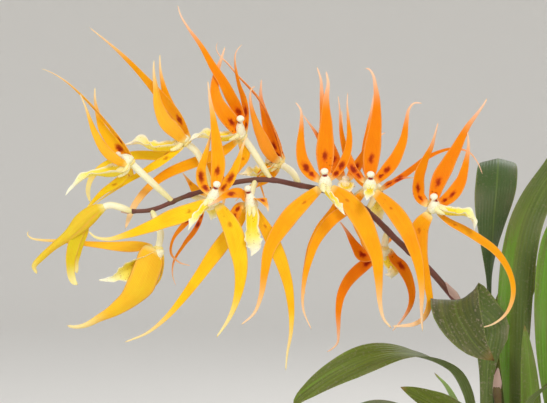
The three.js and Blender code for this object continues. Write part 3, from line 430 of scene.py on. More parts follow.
def makeLipFinish():
    # Orchid lip, thin crisp flesh: yellow body, white ruffle, brown dots round the callus, slightly glossy.
    finish, add, place, share, tone, rim = newFinish("orchidLip", {
        "Roughness": 0.45, "IOR": 1.4, "Subsurface Weight": 0.15, "Subsurface Scale": 0.0012,
        "Specular IOR Level": 0.3, "Subsurface Radius": (1.0, 0.8, 0.3),
    }, ("share", "tone", "rim"))
    ground = add("ValToRGB", [share], stops=lipPaint["along"])
    edge = add("MapRange", [rim, 0.72, 0.96, 0.0, 0.85])
    cells = add("TexVoronoi", {"Vector": place, "Scale": 1000 / lipPaint["dotGap"]}, "Distance")
    dot = add("MapRange", [cells, 0.14, 0.26, 0.8, 0.0])
    where = add("ValToRGB", [share], stops=lipPaint["dotShare"])
    patchy = add("TexNoise", {"Vector": place, "Scale": 1000 / lipPaint["patch"]})
    some = add("MapRange", [patchy, 0.44, 0.54, 0.0, 1.0])
    for factor in (where, some):
        dot = add("Math", [dot, factor], operation="MULTIPLY")
    layers = [(edge, lipPaint["margin"]), (tone, lipPaint["callus"]), (dot, lipPaint["dot"])]
    wrinkle = add("TexNoise", {"Vector": place, "Scale": 1000 / lipPaint["fold"], "Detail": 3.0})
    return closeFinish(finish, add, ground, layers, wrinkle, 0.45, 0.0003)


stalkPaint = {
    "along": [(0.0, "#EFE9A6"), (0.25, "#FBF7CC"), (1.0, "#FFFCE0")],
    # colour of the painted shade in the cleft below the anther cap
    "stain": "#8C1A0C",
    "freckle": "#D0742E",
    "freckleGap": 1.5,  # mm
    "streak": 2.2,  # mm
}


def makeStalkFinish():
    # Flower stalk and column, smooth juicy flesh: pale cream, with a band of painted shade below the anther
    # cap.
    finish, add, place, share, tone, stain = newFinish("orchidStalk", {
        "Roughness": 0.42, "IOR": 1.4, "Subsurface Weight": 0.15, "Subsurface Scale": 0.0012,
        "Specular IOR Level": 0.35, "Subsurface Radius": (1.0, 0.85, 0.5),
    }, ("share", "tone", "stain"))
    ground = add("ValToRGB", [share], stops=stalkPaint["along"])
    cells = add("TexVoronoi", {"Vector": place, "Scale": 1000 / stalkPaint["freckleGap"]}, "Distance")
    freckle = add("MapRange", [cells, 0.12, 0.3, 0.55, 0.0])
    freckle = add("Math", [freckle, tone], operation="MULTIPLY")
    # The dark band is painted shade in the cleft below the anther cap.
    layers = [(freckle, stalkPaint["freckle"]), (stain, stalkPaint["stain"])]
    streak = add("TexNoise", {"Vector": place, "Scale": 1000 / stalkPaint["streak"], "Detail": 3.0})
    return closeFinish(finish, add, ground, layers, streak, 0.3, 0.0002)


stemPaint = {
    "along": [(0.1, "#7C8A3A"), (0.42, "#6A4433"), (0.66, "#7A4644"), (0.85, "#DDB9AC")],
    "patch": 9,  # mm
    "fibre": 0.7,  # mm between the fibres
}


def makeStemFinish():
    # Flower stem, hard ripened skin: purple-brown over green, satin, with fine fibres; bracts dry and pale.
    finish, add, place, tone, offset = newFinish("orchidStem", {"Roughness": 0.48, "IOR": 1.42},
                                                 ("tone", "offset"))
    cloud = add("TexNoise", {"Vector": place, "Scale": 1000 / stemPaint["patch"], "Detail": 4.0})
    shift = add("MapRange", [cloud, 0.0, 1.0, -0.25, 0.25])
    level = add("Math", [tone, shift], operation="ADD")
    ground = add("ValToRGB", [level], stops=stemPaint["along"])
    fibres = add("Math", [offset, 2 * math.pi / stemPaint["fibre"]], operation="MULTIPLY")
    fibres = add("Math", [fibres], operation="SINE")
    height = add("Math", [fibres, cloud], operation="ADD")
    return closeFinish(finish, add, ground, [], height, 0.3, 0.0002)


leafPaint = {
    # The palest stop, at tone 1, is a painted whitish sheen.
    "ground": [(0.08, "#10300A"), (0.34, "#4C5410"), (0.56, "#64741A"), (0.8, "#64A00E"), (1.0, "#A6C272")],
    "underside": "#6C8840",
    "rib": "#9DB44E",
    # grey flecks: partly flecks of age, partly a painted grey sheen
    "wornAndSheen": "#9A8A76",
    "dry": "#8A6B3A",
    "veinGap": 2.3,  # mm
    "streakLong": 60,  # mm
    "pore": 0.5,  # mm
    "patch": 22,  # mm
    "scurf": 1.6,  # mm, size of the flecks on old leaves
}


def makeLeafFinish():
    # Strap leaf, leathery with a thin wax coat: parallel veins, a pale midrib, and on some grey flecks of
    # age and painted grey sheen.
    finish, add, place, reach, offset, rim, tone, inner, share, old = newFinish("orchidLeaf", {
        "Roughness": 0.5, "IOR": 1.45, "Specular IOR Level": 0.28, "Coat Weight": 0.03,
        "Coat Roughness": 0.4, "Subsurface Weight": 0.05, "Subsurface Scale": 0.001,
    }, ("reach", "offset", "rim", "tone", "inner", "share", "stain"))
    across = add("Math", [offset, leafPaint["veinGap"]], operation="DIVIDE")
    along = add("Math", [reach, leafPaint["streakLong"]], operation="DIVIDE")
    lengthways = add("CombineXYZ", [across, along, tone])
    streak = add("TexNoise", {"Vector": lengthways, "Scale": 1.0, "Detail": 4.0})
    shift = add("MapRange", [streak, 0.0, 1.0, -0.28, 0.28])
    level = add("Math", [tone, shift], operation="ADD")
    ground = add("ValToRGB", [level], stops=leafPaint["ground"])
    below = add("MapRange", [inner, 0.0, 1.0, 0.35, 0.0])
    middle = add("MapRange", [rim, 0.02, 0.07, 0.16, 0.0])
    margin = add("MapRange", [rim, 0.93, 0.99, 0.0, 0.4])
    rib = add("Math", [middle, margin], operation="MAXIMUM")
    cloud, flecks, pores = [
        add("TexNoise", {"Vector": place, "Scale": 1000 / leafPaint[key], "Detail": detail})
        for key, detail in (("patch", 5.0), ("scurf", 3.0), ("pore", 2.0))]
    # Grey flecks and patches, more towards the margins: partly flecks of age, partly a painted grey sheen.
    # old is each leaf's share of them.
    fleck = add("MapRange", [flecks, 0.54, 0.66, 0.0, 0.8])
    wornAndSheen = add("MapRange", [cloud, 0.5, 0.7, 0.1, 0.6])
    wornAndSheen = add("Math", [wornAndSheen, fleck], operation="MAXIMUM")
    edge = add("MapRange", [rim, 0.5, 1.0, 0.4, 1.0])
    for factor in (edge, old):
        wornAndSheen = add("Math", [wornAndSheen, factor], operation="MULTIPLY")
    dry = add("MapRange", [share, 0.965, 1.0, 0.0, 0.9])
    layers = [(below, leafPaint["underside"]), (rib, leafPaint["rib"]), (wornAndSheen, leafPaint["wornAndSheen"]),
              (dry, leafPaint["dry"])]
    veins = add("Math", [across, 2 * math.pi], operation="MULTIPLY")
    veins = add("Math", [veins], operation="SINE")
    height = add("Math", [pores, 0.6, veins], operation="MULTIPLY_ADD")
    return closeFinish(finish, add, ground, layers, height, 0.4, 0.0002)


bulbPaint = {
    "ground": [(0.25, "#4A5E22"), (0.5, "#6F8C32"), (0.8, "#A9AE48")],
    "scar": "#8B6C46",
    "streakWide": 3.0,  # mm
    "patch": 16,  # mm
}


def makeBulbFinish():
    # Pseudobulb, firm waxy skin: green with dry scars; the ribs are painted lighter and yellower and the
    # furrows darker, as painted light and shade.
    finish, add, place, ridge = newFinish("pseudobulbSkin", {
        "Roughness": 0.46, "IOR": 1.42, "Coat Weight": 0.1, "Coat Roughness": 0.4,
    }, ["rim"])
    drawn = add("Mapping", {"Vector": place, "Scale": (1.0, 1.0, 0.15)})
    streak = add("TexNoise", {"Vector": drawn, "Scale": 1000 / bulbPaint["streakWide"], "Detail": 4.0})
    # Painted light and shade: the ribs turn lighter and yellower and the furrows darker.
    level = add("Mix", {0: 0.4, 2: streak, 3: ridge})
    ground = add("ValToRGB", [level], stops=bulbPaint["ground"])
    cloud = add("TexNoise", {"Vector": place, "Scale": 1000 / bulbPaint["patch"], "Detail": 6.0})
    scar = add("MapRange", [cloud, 0.6, 0.7, 0.0, 0.7])
    return closeFinish(finish, add, ground, [(scar, bulbPaint["scar"])], streak, 0.5, 0.0006)


sheathPaint = {
    "ground": [(0.3, "#6A4B2C"), (0.5, "#B39A6C"), (0.72, "#D8C79C")],
    "old": "#5D4630",
    "fibreLong": 18,  # mm
    "patch": 9,  # mm
}


def makeSheathFinish():
    # Old leaf base, dry as paper: straw with brown fibres, quite matt.
    finish, add, place, reach, offset = newFinish("dryLeafBase", {"Roughness": 0.78, "IOR": 1.4},
                                                  ("reach", "offset"))
    along = add("Math", [reach, sheathPaint["fibreLong"]], operation="DIVIDE")
    fibre = add("CombineXYZ", [offset, along])
    streak = add("TexNoise", {"Vector": fibre, "Scale": 1.1, "Detail": 5.0})
    ground = add("ValToRGB", [streak], stops=sheathPaint["ground"])
    cloud = add("TexNoise", {"Vector": place, "Scale": 1000 / sheathPaint["patch"], "Detail": 4.0})
    old = add("MapRange", [cloud, 0.5, 0.68, 0.0, 0.6])
    return closeFinish(finish, add, ground, [(old, sheathPaint["old"])], streak, 0.6, 0.0004)


barkPaint = {
    "ground": [(0.25, "#2E1D12"), (0.48, "#5E3F28"), (0.66, "#8A6242"), (0.82, "#B08A62")],
    "layer": 7,  # mm
    "grit": 1.5,  # mm
}


def makeBarkFinish():
    # Fir bark, split and sieved: layered brown cork, matt and rough, each chip its own tone.
    finish, add, place, own = newFinish("firBark", {
        "Roughness": 0.92, "IOR": 1.4, "Specular IOR Level": 0.25,
    }, ["tone"])
    layered = {"Vector": place, "Scale": 1000 / barkPaint["layer"], "Detail": 6.0, "Distortion": 0.8}
    cork = add("TexNoise", layered)
    level = add("Mix", {0: 0.4, 2: cork, 3: own})
    ground = add("ValToRGB", [level], stops=barkPaint["ground"])
    grit = add("TexNoise", {"Vector": place, "Scale": 1000 / barkPaint["grit"], "Detail": 4.0})
    height = add("Math", [grit, 0.5, cork], operation="MULTIPLY_ADD")
    return closeFinish(finish, add, ground, [], height, 0.8, 0.0012)


clayPaint = {
    "ground": [(0.3, "#8E4A2B"), (0.5, "#B5683F"), (0.7, "#CB8A62")],
    "dark": "#8E4A2B",
    "lime": "#D9C7B4",
    "limePatch": 20,  # mm
    "limeFrom": 0.05,  # m above the floor, where the lime begins to show
    "limeFull": 0.115,
    "patch": 34,  # mm
    "grit": 1.3,  # mm
    "turnLine": 2.4,  # mm between the lines of the wheel
}


def makeClayFinish():
    # Terracotta, thrown and fired unglazed: matt, fine grit, faint lines of the wheel, lime by the rim.
    finish, add, place = newFinish("terracotta", {"Roughness": 0.88, "IOR": 1.5, "Specular IOR Level": 0.3})
    high = add("SeparateXYZ", [place], "Z")
    cloud = add("TexNoise", {"Vector": place, "Scale": 1000 / clayPaint["patch"], "Detail": 6.0})
    ground = add("ValToRGB", [cloud], stops=clayPaint["ground"])
    grit = add("TexNoise", {"Vector": place, "Scale": 1000 / clayPaint["grit"], "Detail": 3.0})
    speck = add("MapRange", [grit, 0.58, 0.7, 0.0, 0.35])
    crusted = {"Vector": place, "Scale": 1000 / clayPaint["limePatch"], "Detail": 7.0, "Roughness": 0.7}
    crust = add("TexNoise", crusted)
    band = add("MapRange", [high, clayPaint["limeFrom"], clayPaint["limeFull"], 0.0, 0.16])
    lime = add("Math", [crust, band], operation="ADD")
    lime = add("MapRange", [lime, 0.58, 0.78, 0.0, 0.6])
    lines = add("Math", [high, 2000 * math.pi / clayPaint["turnLine"]], operation="MULTIPLY")
    lines = add("Math", [lines], operation="SINE")
    height = add("Math", [lines, 0.25, grit], operation="MULTIPLY_ADD")
    layers = [(speck, clayPaint["dark"]), (lime, clayPaint["lime"])]
    return closeFinish(finish, add, ground, layers, height, 0.5, 0.0004)


petalFinish = makePetalFinish()
lipFinish = makeLipFinish()
stalkFinish = makeStalkFinish()
stemFinish = makeStemFinish()
leafFinish = makeLeafFinish()
bulbFinish = makeBulbFinish()
sheathFinish = makeSheathFinish()
barkFinish = makeBarkFinish()
clayFinish = makeClayFinish()
print("finishes made")


def makeCamera():
    eye = addObject("frontCamera", bpy.data.cameras.new("frontCamera"))
    eye.location = Vector(camera["eye"]) * mm
    eye.rotation_euler = (math.pi / 2, 0, 0)
    eye.data.lens = camera["lens"]
    eye.data.sensor_width = camera["sensor"]
    scene.camera = eye


def makeStudio():
    # A round floor that curves up into a wall, so that no edge shows from any side.
    bm = bmesh.new()
    flat, bend = studio["floorRadius"], studio["coveRadius"]
    profile = [(0, 0), (flat, 0)]
    for k in range(1, studio["coveSteps"] + 1):
        angle = math.pi / 2 * k / studio["coveSteps"]
        profile.append((flat + bend * math.sin(angle), bend * (1 - math.cos(angle))))
    turnProfile(bm, [*profile, (flat + bend, studio["wallHeight"])], studio["steps"])
    bmesh.ops.reverse_faces(bm, faces=bm.faces)
    for face in bm.faces:
        face.smooth = True
    floor = addObject("studioFloor", toMesh(bm, "studioFloor"))
    paper = newFinish("matPaper", {"Roughness": 0.9, "Base Color": shade(studio["paper"])})[0]
    floor.data.materials.append(paper)
    for name, lamp in studio["lamps"].items():
        light = bpy.data.lights.new(name, "AREA")
        light.shape = "DISK"
        light.size = lamp["size"]
        light.energy = lamp["power"]
        holder = addObject(name, light)
        holder.location = lamp["place"]
        holder.rotation_euler = (Vector(studio["aim"]) - holder.location).to_track_quat("-Z", "Y").to_euler()
    scene.world = bpy.data.worlds.new("studioAir")
    scene.world.use_nodes = True
    air = scene.world.node_tree.nodes["Background"]
    air.inputs["Color"].default_value = shade(studio["air"])
    air.inputs["Strength"].default_value = studio["airStrength"]
    scene.view_settings.view_transform = "Standard"  # keeps the flowers' strong oranges


makeCamera()
makeStudio()
print("camera and studio made")


pot = {
    "height": 125,
    "footRadius": 50,
    "bodyRadius": 66,
    "rimRadius": 74,
    "rimHeight": 24,
    "rimLip": 1.5,
    "wall": 6,
    "floor": 8,
    "drainRadius": 5,
    "drainRing": 27,
    "drainCount": 4,
    "drainSteps": 24,
    "round": 1.28,
    "roundSteps": 3,
    "sharp": 0.5,  # radians between two faces, from which an edge is rounded
    "steps": 96,
}


def innerRadius(z):
    low = pot["footRadius"] - pot["wall"] + 1
    high = pot["rimRadius"] - 2 * pot["rimLip"] - pot["wall"]
    return low + (high - low) * (z - pot["floor"]) / (pot["height"] + 1 - pot["floor"])


def makePot():
    bm = newSkin()
    high, rim, lip = pot["height"], pot["rimRadius"], pot["rimLip"]
    shoulder = high - pot["rimHeight"]
    outside = [(0, 0), (pot["footRadius"], 0), (pot["bodyRadius"], shoulder),
               (rim - lip, shoulder + lip), (rim, high - lip), (rim - lip, high)]
    inside = [(innerRadius(high), high), (innerRadius(pot["floor"]), pot["floor"]), (0, pot["floor"])]
    turnProfile(bm, outside + inside, pot["steps"])
    sharp = [edge for edge in bm.edges if edge.calc_face_angle(0) > pot["sharp"]]
    roundEdges(bm, sharp, pot["round"], pot["roundSteps"])
    piece = finishPiece(bm, "clayPot", clayFinish, ["pot"], merge=False)
    cutter = bmesh.new()
    radius = pot["drainRadius"] * mm
    for k in range(pot["drainCount"]):
        angle = (k + 0.5) / pot["drainCount"] * 2 * math.pi
        spot = Vector((math.cos(angle), math.sin(angle), 0)) * pot["drainRing"] * mm
        bmesh.ops.create_cone(cutter, cap_ends=True, segments=pot["drainSteps"], radius1=radius,
                              radius2=radius, depth=4 * pot["floor"] * mm, matrix=Matrix.Translation(spot))
    tool = addObject("drill", toMesh(cutter, "drill"))
    cut = piece.modifiers.new("drain", "BOOLEAN")
    cut.object = tool
    cut.operation = "DIFFERENCE"
    cut.solver = "EXACT"
    bpy.context.view_layer.update()
    drilled = bpy.data.meshes.new_from_object(piece.evaluated_get(bpy.context.evaluated_depsgraph_get()))
    piece.modifiers.clear()
    piece.data = drilled
    bpy.data.objects.remove(tool)
    drilled.shade_smooth()
    for polygon in drilled.polygons:
        polygon.use_smooth = abs(polygon.normal.z) < 0.995


bark = {
    "level": 107,
    "mound": 5,
    "gap": 0.8,  # mm to the pot's wall
    "footGap": 0.35,
    "rings": 18,
    "steps": 80,
    "rough": 1.6,  # mm, height of the bed's own bumps
    "bump": 6,  # mm, size of a bump
    # the bed is darker than the chips: painted shade in the gaps between them
    "tone": 0.25,
    "chips": 210,
    "long": (12, 21),
    "wide": (7, 12),
    "thick": (3, 6.5),
    "tilt": 0.4,
    "lift": (-1.0, 2.4),  # mm over the bed
    "chipGap": 2,  # mm to the pot's wall
    "skew": 0.11,  # share of its size that a chip's corner strays
    "round": 0.7,
    "seed": 11,
}
goldenAngle = 2.39996  # spreads the chips evenly


def barkTop(x, y):
    reach = innerRadius(bark["level"])
    return bark["level"] + bark["mound"] * (1 - math.hypot(x, y) / reach)


def makeBark():
    bm = newSkin()
    low, level = pot["floor"] + bark["footGap"], bark["level"]
    foot, reach = innerRadius(low) - bark["gap"], innerRadius(level) - bark["gap"]
    profile = [(0, low), (foot, low), (reach, level)]
    for k in range(1, bark["rings"] + 1):
        profile.append((reach * (1 - k / bark["rings"]), level + bark["mound"] * k / bark["rings"]))
    turnProfile(bm, profile, bark["steps"])
    for vert in bm.verts:
        if vert.co.z > level - 1:
            vert.co.z += bark["rough"] * noise.noise(vert.co / bark["bump"])
        # The bed's darker tone is painted shade, seen in the gaps between the chips.
        mark(bm, vert, tone=bark["tone"])
    finishPiece(bm, "barkBed", barkFinish, ["bark_mix"])

    draw = random.Random(bark["seed"])
    bm = newSkin()
    for k in range(bark["chips"]):
        size = [draw.uniform(*bark[key]) for key in ("long", "wide", "thick")]
        r = (innerRadius(level) - bark["chipGap"] - size[0] / 2) * math.sqrt((k + 0.5) / bark["chips"])
        angle = k * goldenAngle
        x, y = r * math.cos(angle), r * math.sin(angle)
        tilt = Matrix.Rotation(draw.uniform(-bark["tilt"], bark["tilt"]), 4, "X")
        tilt = Matrix.Rotation(draw.uniform(-bark["tilt"], bark["tilt"]), 4, "Y") @ tilt
        spin = Matrix.Rotation(draw.uniform(0, math.pi), 4, "Z")
        lift = barkTop(x, y) + draw.uniform(*bark["lift"])
        place = Matrix.Translation((x, y, lift)) @ spin @ tilt @ Matrix.Diagonal((*size, 1))
        chip = bmesh.ops.create_cube(bm, size=1, matrix=place)["verts"]
        own = draw.random()
        for vert in chip:
            vert.co += Vector([draw.uniform(-bark["skew"], bark["skew"]) * s for s in size])
            mark(bm, vert, tone=own)
    roundEdges(bm, list(bm.edges), bark["round"], 1)
    chips = finishPiece(bm, "barkChips", barkFinish, ["bark_mix"])
    for polygon in chips.data.polygons:
        polygon.use_smooth = False


makePot()
makeBark()
print("pot and bark made")


bulbLook = {
    "sunk": 4,  # mm in the bark
    "rib": 0.09,  # depth of a furrow as a share of the width
    "ribs": 6,
    "ribRound": 0.6,
    "uneven": 0.012,
    "rows": 44,
    "around": 60,
    "profile": [(0, 0.5), (0.1, 0.8), (0.3, 1), (0.55, 0.93), (0.78, 0.68), (0.93, 0.4), (1, 0.2)],
}
bulbs = [
    {"name": "bulb_1", "foot": (7, 2), "tall": 92, "wide": 36, "thick": 19, "turn": 12},
    {"name": "bulb_2", "foot": (-22, 19), "tall": 84, "wide": 34, "thick": 18, "turn": 48},
    {"name": "bulb_3", "foot": (39, 9), "tall": 88, "wide": 36, "thick": 18, "turn": -28},
    {"name": "bulb_4", "foot": (17, -27), "tall": 50, "wide": 24, "thick": 15, "turn": -10},
    {"name": "bulb_5", "foot": (3, 43), "tall": 80, "wide": 34, "thick": 17, "turn": 8},
]


def makeBulb(bulb, number):
    bm = newSkin()
    rows, around = bulbLook["rows"], bulbLook["around"]
    low = bark["level"] - bulbLook["sunk"]
    high = bulb["tall"] + bulbLook["sunk"]
    turned = Matrix.Rotation(math.radians(bulb["turn"]), 3, "Z")
    foot = Vector((*bulb["foot"], 0))

    def place(vert, row, turn):
        t = min(max((row - 1) / (rows - 2), 0), 1)
        angle = 2 * math.pi * turn
        ridge = abs(math.cos(bulbLook["ribs"] / 2 * angle)) ** bulbLook["ribRound"]
        furrow = bulbLook["rib"] * (1 - ridge) * min(1, 5 * t + 0.3)
        size = shareAt(bulbLook["profile"], t) * (1 - furrow) / 2
        uneven = noise.noise(Vector((math.cos(angle) * 2, math.sin(angle) * 2, t * 5 + number)))
        size *= 1 + bulbLook["uneven"] * uneven
        if row in (0, rows):
            size = 0
        spot = Vector((bulb["wide"] * size * math.cos(angle), bulb["thick"] * size * math.sin(angle), 0))
        vert.co = turned @ spot + foot + Vector((0, 0, low + high * t))
        mark(bm, vert, share=t, rim=ridge, tone=0.5)

    rollUp(bm, rows, around, place)
    finishPiece(bm, f"pseudobulb{number}", bulbFinish, [bulb["name"]])


sheath = {
    "rows": 18,
    "around": 20,
    "up": 3,  # mm over the foot of the bulb
    "sides": ((0, 0.42), (math.pi, 0.3)),  # turn round the bulb, share of its height
    "spread": 1.25,  # turn to each side at the foot
    "gap": 0.6,  # mm to the bulb, and at the very ends
    "endGap": 0.8,
    "thick": 0.5,
    "flare": 1.1,  # mm, how far the tip stands off
    "narrow": 0.9,  # how much of the spread is lost at the tip, and how late
    "late": 1.6,
    "fibreWide": 12,
}


def makeSheaths():
    # Dry leaf bases clasp the foot of each pseudobulb, two to a bulb, one on each narrow side.
    bm = newSkin()
    rows = sheath["rows"]
    low = bark["level"] - bulbLook["sunk"] + sheath["up"]
    for bulb in bulbs:
        turned = Matrix.Rotation(math.radians(bulb["turn"]), 3, "Z")
        foot = Vector((*bulb["foot"], low))
        high = bulb["tall"] + bulbLook["sunk"]
        for side, tall in sheath["sides"]:

            def place(vert, row, turn, side=side, tall=tall, bulb=bulb, turned=turned, foot=foot, high=high):
                t = row / rows
                across = -math.cos(2 * math.pi * turn)
                out = 0.25 + 0.45 * (1 + math.sin(2 * math.pi * turn))
                spread = sheath["spread"] * (1 - sheath["narrow"] * t ** sheath["late"])
                rise = tall * t * (1 - 0.1 * abs(across)) * bulb["tall"]
                share = shareAt(bulbLook["profile"], (rise + sheath["up"]) / high)
                angle = side + spread * across
                gap = sheath["gap"] + sheath["thick"] * out + sheath["flare"] * t ** 3
                if row in (0, rows):
                    gap, angle = sheath["endGap"], side
                wide, thick = bulb["wide"] * share / 2 + gap, bulb["thick"] * share / 2 + gap
                vert.co = turned @ Vector((wide * math.cos(angle), thick * math.sin(angle), rise)) + foot
                offset = sheath["fibreWide"] * spread * across
                mark(bm, vert, share=t, reach=rise, offset=offset, rim=abs(across))

            rollUp(bm, rows, sheath["around"], place)
    finishPiece(bm, "dryLeafBases", sheathFinish, [bulb["name"] for bulb in bulbs])


for number, bulb in enumerate(bulbs):
    makeBulb(bulb, number + 1)
makeSheaths()
print("pseudobulbs made")


leafLook = {
    "rows": 56,
    "around": 24,
    "thick": 1.3,
    "edge": 0.5,
    "fold": 1.05,
    "open": 0.2,
    "opened": 0.35,
    "wave": 0.55,  # mm, sway of the margins
    "beat": 13,  # radians of sway along the blade, and between its margins
    "offBeat": 2,
    "crease": 0.006,  # softness of the fold, and the drop that makes up for it
    "sink": 0.077,
    "wornAndSheen": 0.5,  # how flecked with age and painted with grey sheen
    "outline": [(0, 0.3), (0.12, 0.42), (0.3, 0.86), (0.5, 1), (0.7, 0.94), (0.85, 0.66), (0.95, 0.3),
                (1, 0.02)],
}
# A leaf's widest, its colour, the ways the blade runs across, root to tip, and the line of its midrib.
leaves = [
    # leaf_1 has one half of its blade painted paler, as painted light.
    {"wide": 23, "fold": 0.7, "tone": 0.34, "paler": 0.45,
     "across": [(0.8, -0.5, 0.1), (0.85, -0.45, -0.1), (0.6, -0.7, -0.2)],
     "path": [(6, 1, 180), (7, 2, 225), (8, 3, 262), (9, 5, 287), (12, 8, 314), (17, 12, 334),
              (25, 17, 350), (38, 25, 368), (52, 34, 388), (68, 44, 398), (84, 54, 398)]},
    # leaf_2 carries the most flecks of age and painted grey sheen.
    {"wide": 31, "tone": 0.3, "wornAndSheen": 1.0,
     "outline": [(0, 0.25), (0.5, 0.25), (0.57, 0.3), (0.63, 0.5), (0.7, 0.8), (0.76, 0.95),
                 (0.84, 0.95), (0.92, 0.66), (1, 0.04)],
     "across": [(1, 0.1, 0), (1, 0.1, 0), (1, 0.1, 0), (1, 0.1, 0), (1, 0.1, 0), (1, 0.1, 0.1),
                (0.97, 0.1, 0.1), (0.97, 0.1, 0.2), (0.7, 0, 0.7)],
     "path": [(-11, -23, 104), (-11, -23, 160), (-11, -22.5, 205), (-11, -21.5, 238), (-9.5, -19, 257),
              (-7, -15, 272), (-16, -12, 282), (-25.5, -15, 287), (-29.5, -22, 287),
              (-29.5, -28, 280.5), (-25, -33, 271), (-18.5, -37, 262), (-9, -40, 254.5)]},
    {"wide": 20, "tone": 0.48,
     "across": [(0.5, -0.8, 0.3), (0.2, -0.9, 0.3), (0.1, -0.95, 0), (0.1, -0.35, -0.9),
                (0.1, -0.4, -0.9)],
     "path": [(-20, 16, 180), (-18, 9, 212), (-20, 7, 228), (-26, 5, 241), (-37, 2, 249),
              (-52, -4, 254), (-68, -9, 255), (-85, -16, 251.5), (-102, -22, 244), (-115, -27, 236),
              (-122, -31, 230.5), (-124.5, -33, 224)]},
    {"wide": 24, "tone": 0.46,
     "across": [(0.4, -0.8, 0.1), (0.5, -0.8, -0.2), (0.3, -0.5, -0.8), (0.2, -0.4, -0.9)],
     "path": [(12, -29, 138), (2, -31, 172), (-12, -36, 206), (-34, -46, 225), (-48, -53, 232.5),
              (-65, -60, 242)]},
    # leaf_5's tone above 1 paints a whitish sheen on it.
    {"wide": 13, "tone": 1.05, "across": [(0.2, -1, 0), (0.35, -0.9, 0.25), (0.35, -0.9, 0.25)],
     "path": [(-22, 14, 111), (-22, -6, 170), (-26, -20, 214), (-34, -28, 236), (-43, -32, 247)]},
    # leaf_6 lies back in the spray: its darkest tone is painted shade.
    {"wide": 27, "tone": 0.0,
     "outline": [(0, 0.3), (0.3, 0.3), (0.45, 0.36), (0.58, 0.7), (0.72, 1), (0.86, 0.9), (0.95, 0.5),
                 (1, 0.04)],
     "across": [(0.2, 1, 0), (0.2, 1, 0), (0.5, 0.9, 0), (1, 0.1, 0), (1, 0.1, 0)],
     "path": [(5, 44, 176), (3, 50, 235), (2, 55, 293), (4, 58, 330), (7, 62, 356), (10, 76, 370),
              (13, 96, 374), (16, 118, 372)]},
    {"wide": 26, "tone": 0.7, "across": [(0.9, 0.3, 0), (0.85, 0.5, 0), (0.85, 0.5, 0.1)],
     "path": [(36, 7, 184), (32, 1, 245), (31, -7, 290), (34, -19, 326), (43, -37, 343), (56, -57, 338),
              (70, -73, 315), (80, -85, 280)]},
    {"wide": 13, "tone": 0.56, "across": [(0.9, 0.2, 0)],
     "path": [(18, -27, 148), (16, -26, 195), (14.5, -26, 228), (13, -26, 250), (10.6, -25, 274)]},
    {"wide": 21, "tone": 0.45, "across": [(0.5, 0.8, 0.1), (0.5, 0.85, 0.2)],
     "path": [(17, -34, 130), (10, -37, 185), (9, -40, 222), (18, -46, 239), (38, -54, 246),
              (60, -64, 237), (80, -74, 214)]},
    {"wide": 23, "tone": 0.3, "across": [(-0.3, -0.9, 0), (-0.4, -0.9, -0.1)],
     "path": [(-32, 14, 118), (-44, 4, 170), (-62, -12, 202), (-84, -28, 216), (-108, -44, 208),
              (-128, -56, 188)]},
    {"wide": 27, "tone": 0.4, "across": [(-0.1, 1, 0), (-0.1, 1, -0.2)],
     "path": [(40, 11, 180), (50, 12, 245), (66, 15, 296), (92, 19, 319), (122, 22, 313),
              (148, 22, 286), (166, 20, 250)]},
    {"wide": 24, "tone": 0.5, "across": [(-0.5, 0.85, 0)],
     "path": [(48, 15, 120), (60, 26, 190), (79, 41, 236), (104, 58, 256), (132, 73, 247),
              (151, 82, 222)]},
    {"wide": 26, "tone": 0.33, "across": [(-0.85, 0.5, 0)],
     "path": [(5, 50, 172), (10, 68, 236), (24, 92, 282), (42, 118, 301), (64, 142, 292), (80, 160, 263)]},
    {"wide": 23, "tone": 0.46, "across": [(-0.6, -0.8, 0)],
     "path": [(-12, 48, 120), (-28, 62, 178), (-50, 80, 205), (-76, 98, 211), (-99, 113, 197),
              (-114, 122, 174)]},
]


def makeLeaf(leaf, number):
    # A strap leaf: folded along its midrib at the root, opening to a shallow channel.
    bm = newSkin()
    rows, around = leafLook["rows"], leafLook["around"]
    stops, length = smoothLine(leaf["path"], rows)
    frames = []
    for n, (point, way, _) in enumerate(stops):
        t = n / rows
        side = squareTo(turning(leaf["across"], t), way)
        ease = min(t / leafLook["opened"], 1)
        fold = leaf.get("fold", leafLook["fold"])
        angle = fold + (leafLook["open"] - fold) * ease * ease * (3 - 2 * ease)
        half = leaf["wide"] / 2 * shareAt(leaf.get("outline", leafLook["outline"]), t)
        frames.append((point, side, way.cross(side), half * math.cos(angle), half * math.sin(angle), t))
    drift = random.Random(number)
    phase = drift.uniform(0, 6)

    def place(vert, row, turn):
        point, side, normal, out, rise, t = frames[row]
        across = -math.cos(2 * math.pi * turn)
        lens = math.sin(2 * math.pi * turn)
        if row in (0, rows):
            out = rise = lens = 0
        edge = abs(across)
        crease = math.sqrt(across * across + leafLook["crease"]) - leafLook["sink"]
        thick = leafLook["edge"] + (leafLook["thick"] - leafLook["edge"]) * (1 - edge)
        beat = leafLook["beat"] * t + phase + (leafLook["offBeat"] if across > 0 else 0)
        sway = leafLook["wave"] * edge * edge * math.sin(beat) * math.sin(math.pi * t)
        vert.co = point + side * out * across + normal * (rise * crease + lens * thick / 2 + sway)
        # Painted light: one half of the blade may be paler in its lower two thirds, lit more than the other
        # half.
        low = max(0, min(1, 3.4 - 5 * t)) * max(0, min(1, -4 * across))
        # Each leaf's share of flecks of age and painted grey sheen is marked with the stains.
        mark(bm, vert, share=t, reach=t * length, offset=(abs(out) + abs(rise)) * across, rim=edge,
             inner=1.0 if lens > 0 else 0.0, tone=leaf["tone"] + leaf.get("paler", 0) * low,
             stain=leaf.get("wornAndSheen", leafLook["wornAndSheen"]))

    rollUp(bm, rows, around, place)
    finishPiece(bm, f"leafBlade{number}", leafFinish, [f"leaf_{number}"])


for number, leaf in enumerate(leaves):
    makeLeaf(leaf, number + 1)
print("leaves made")


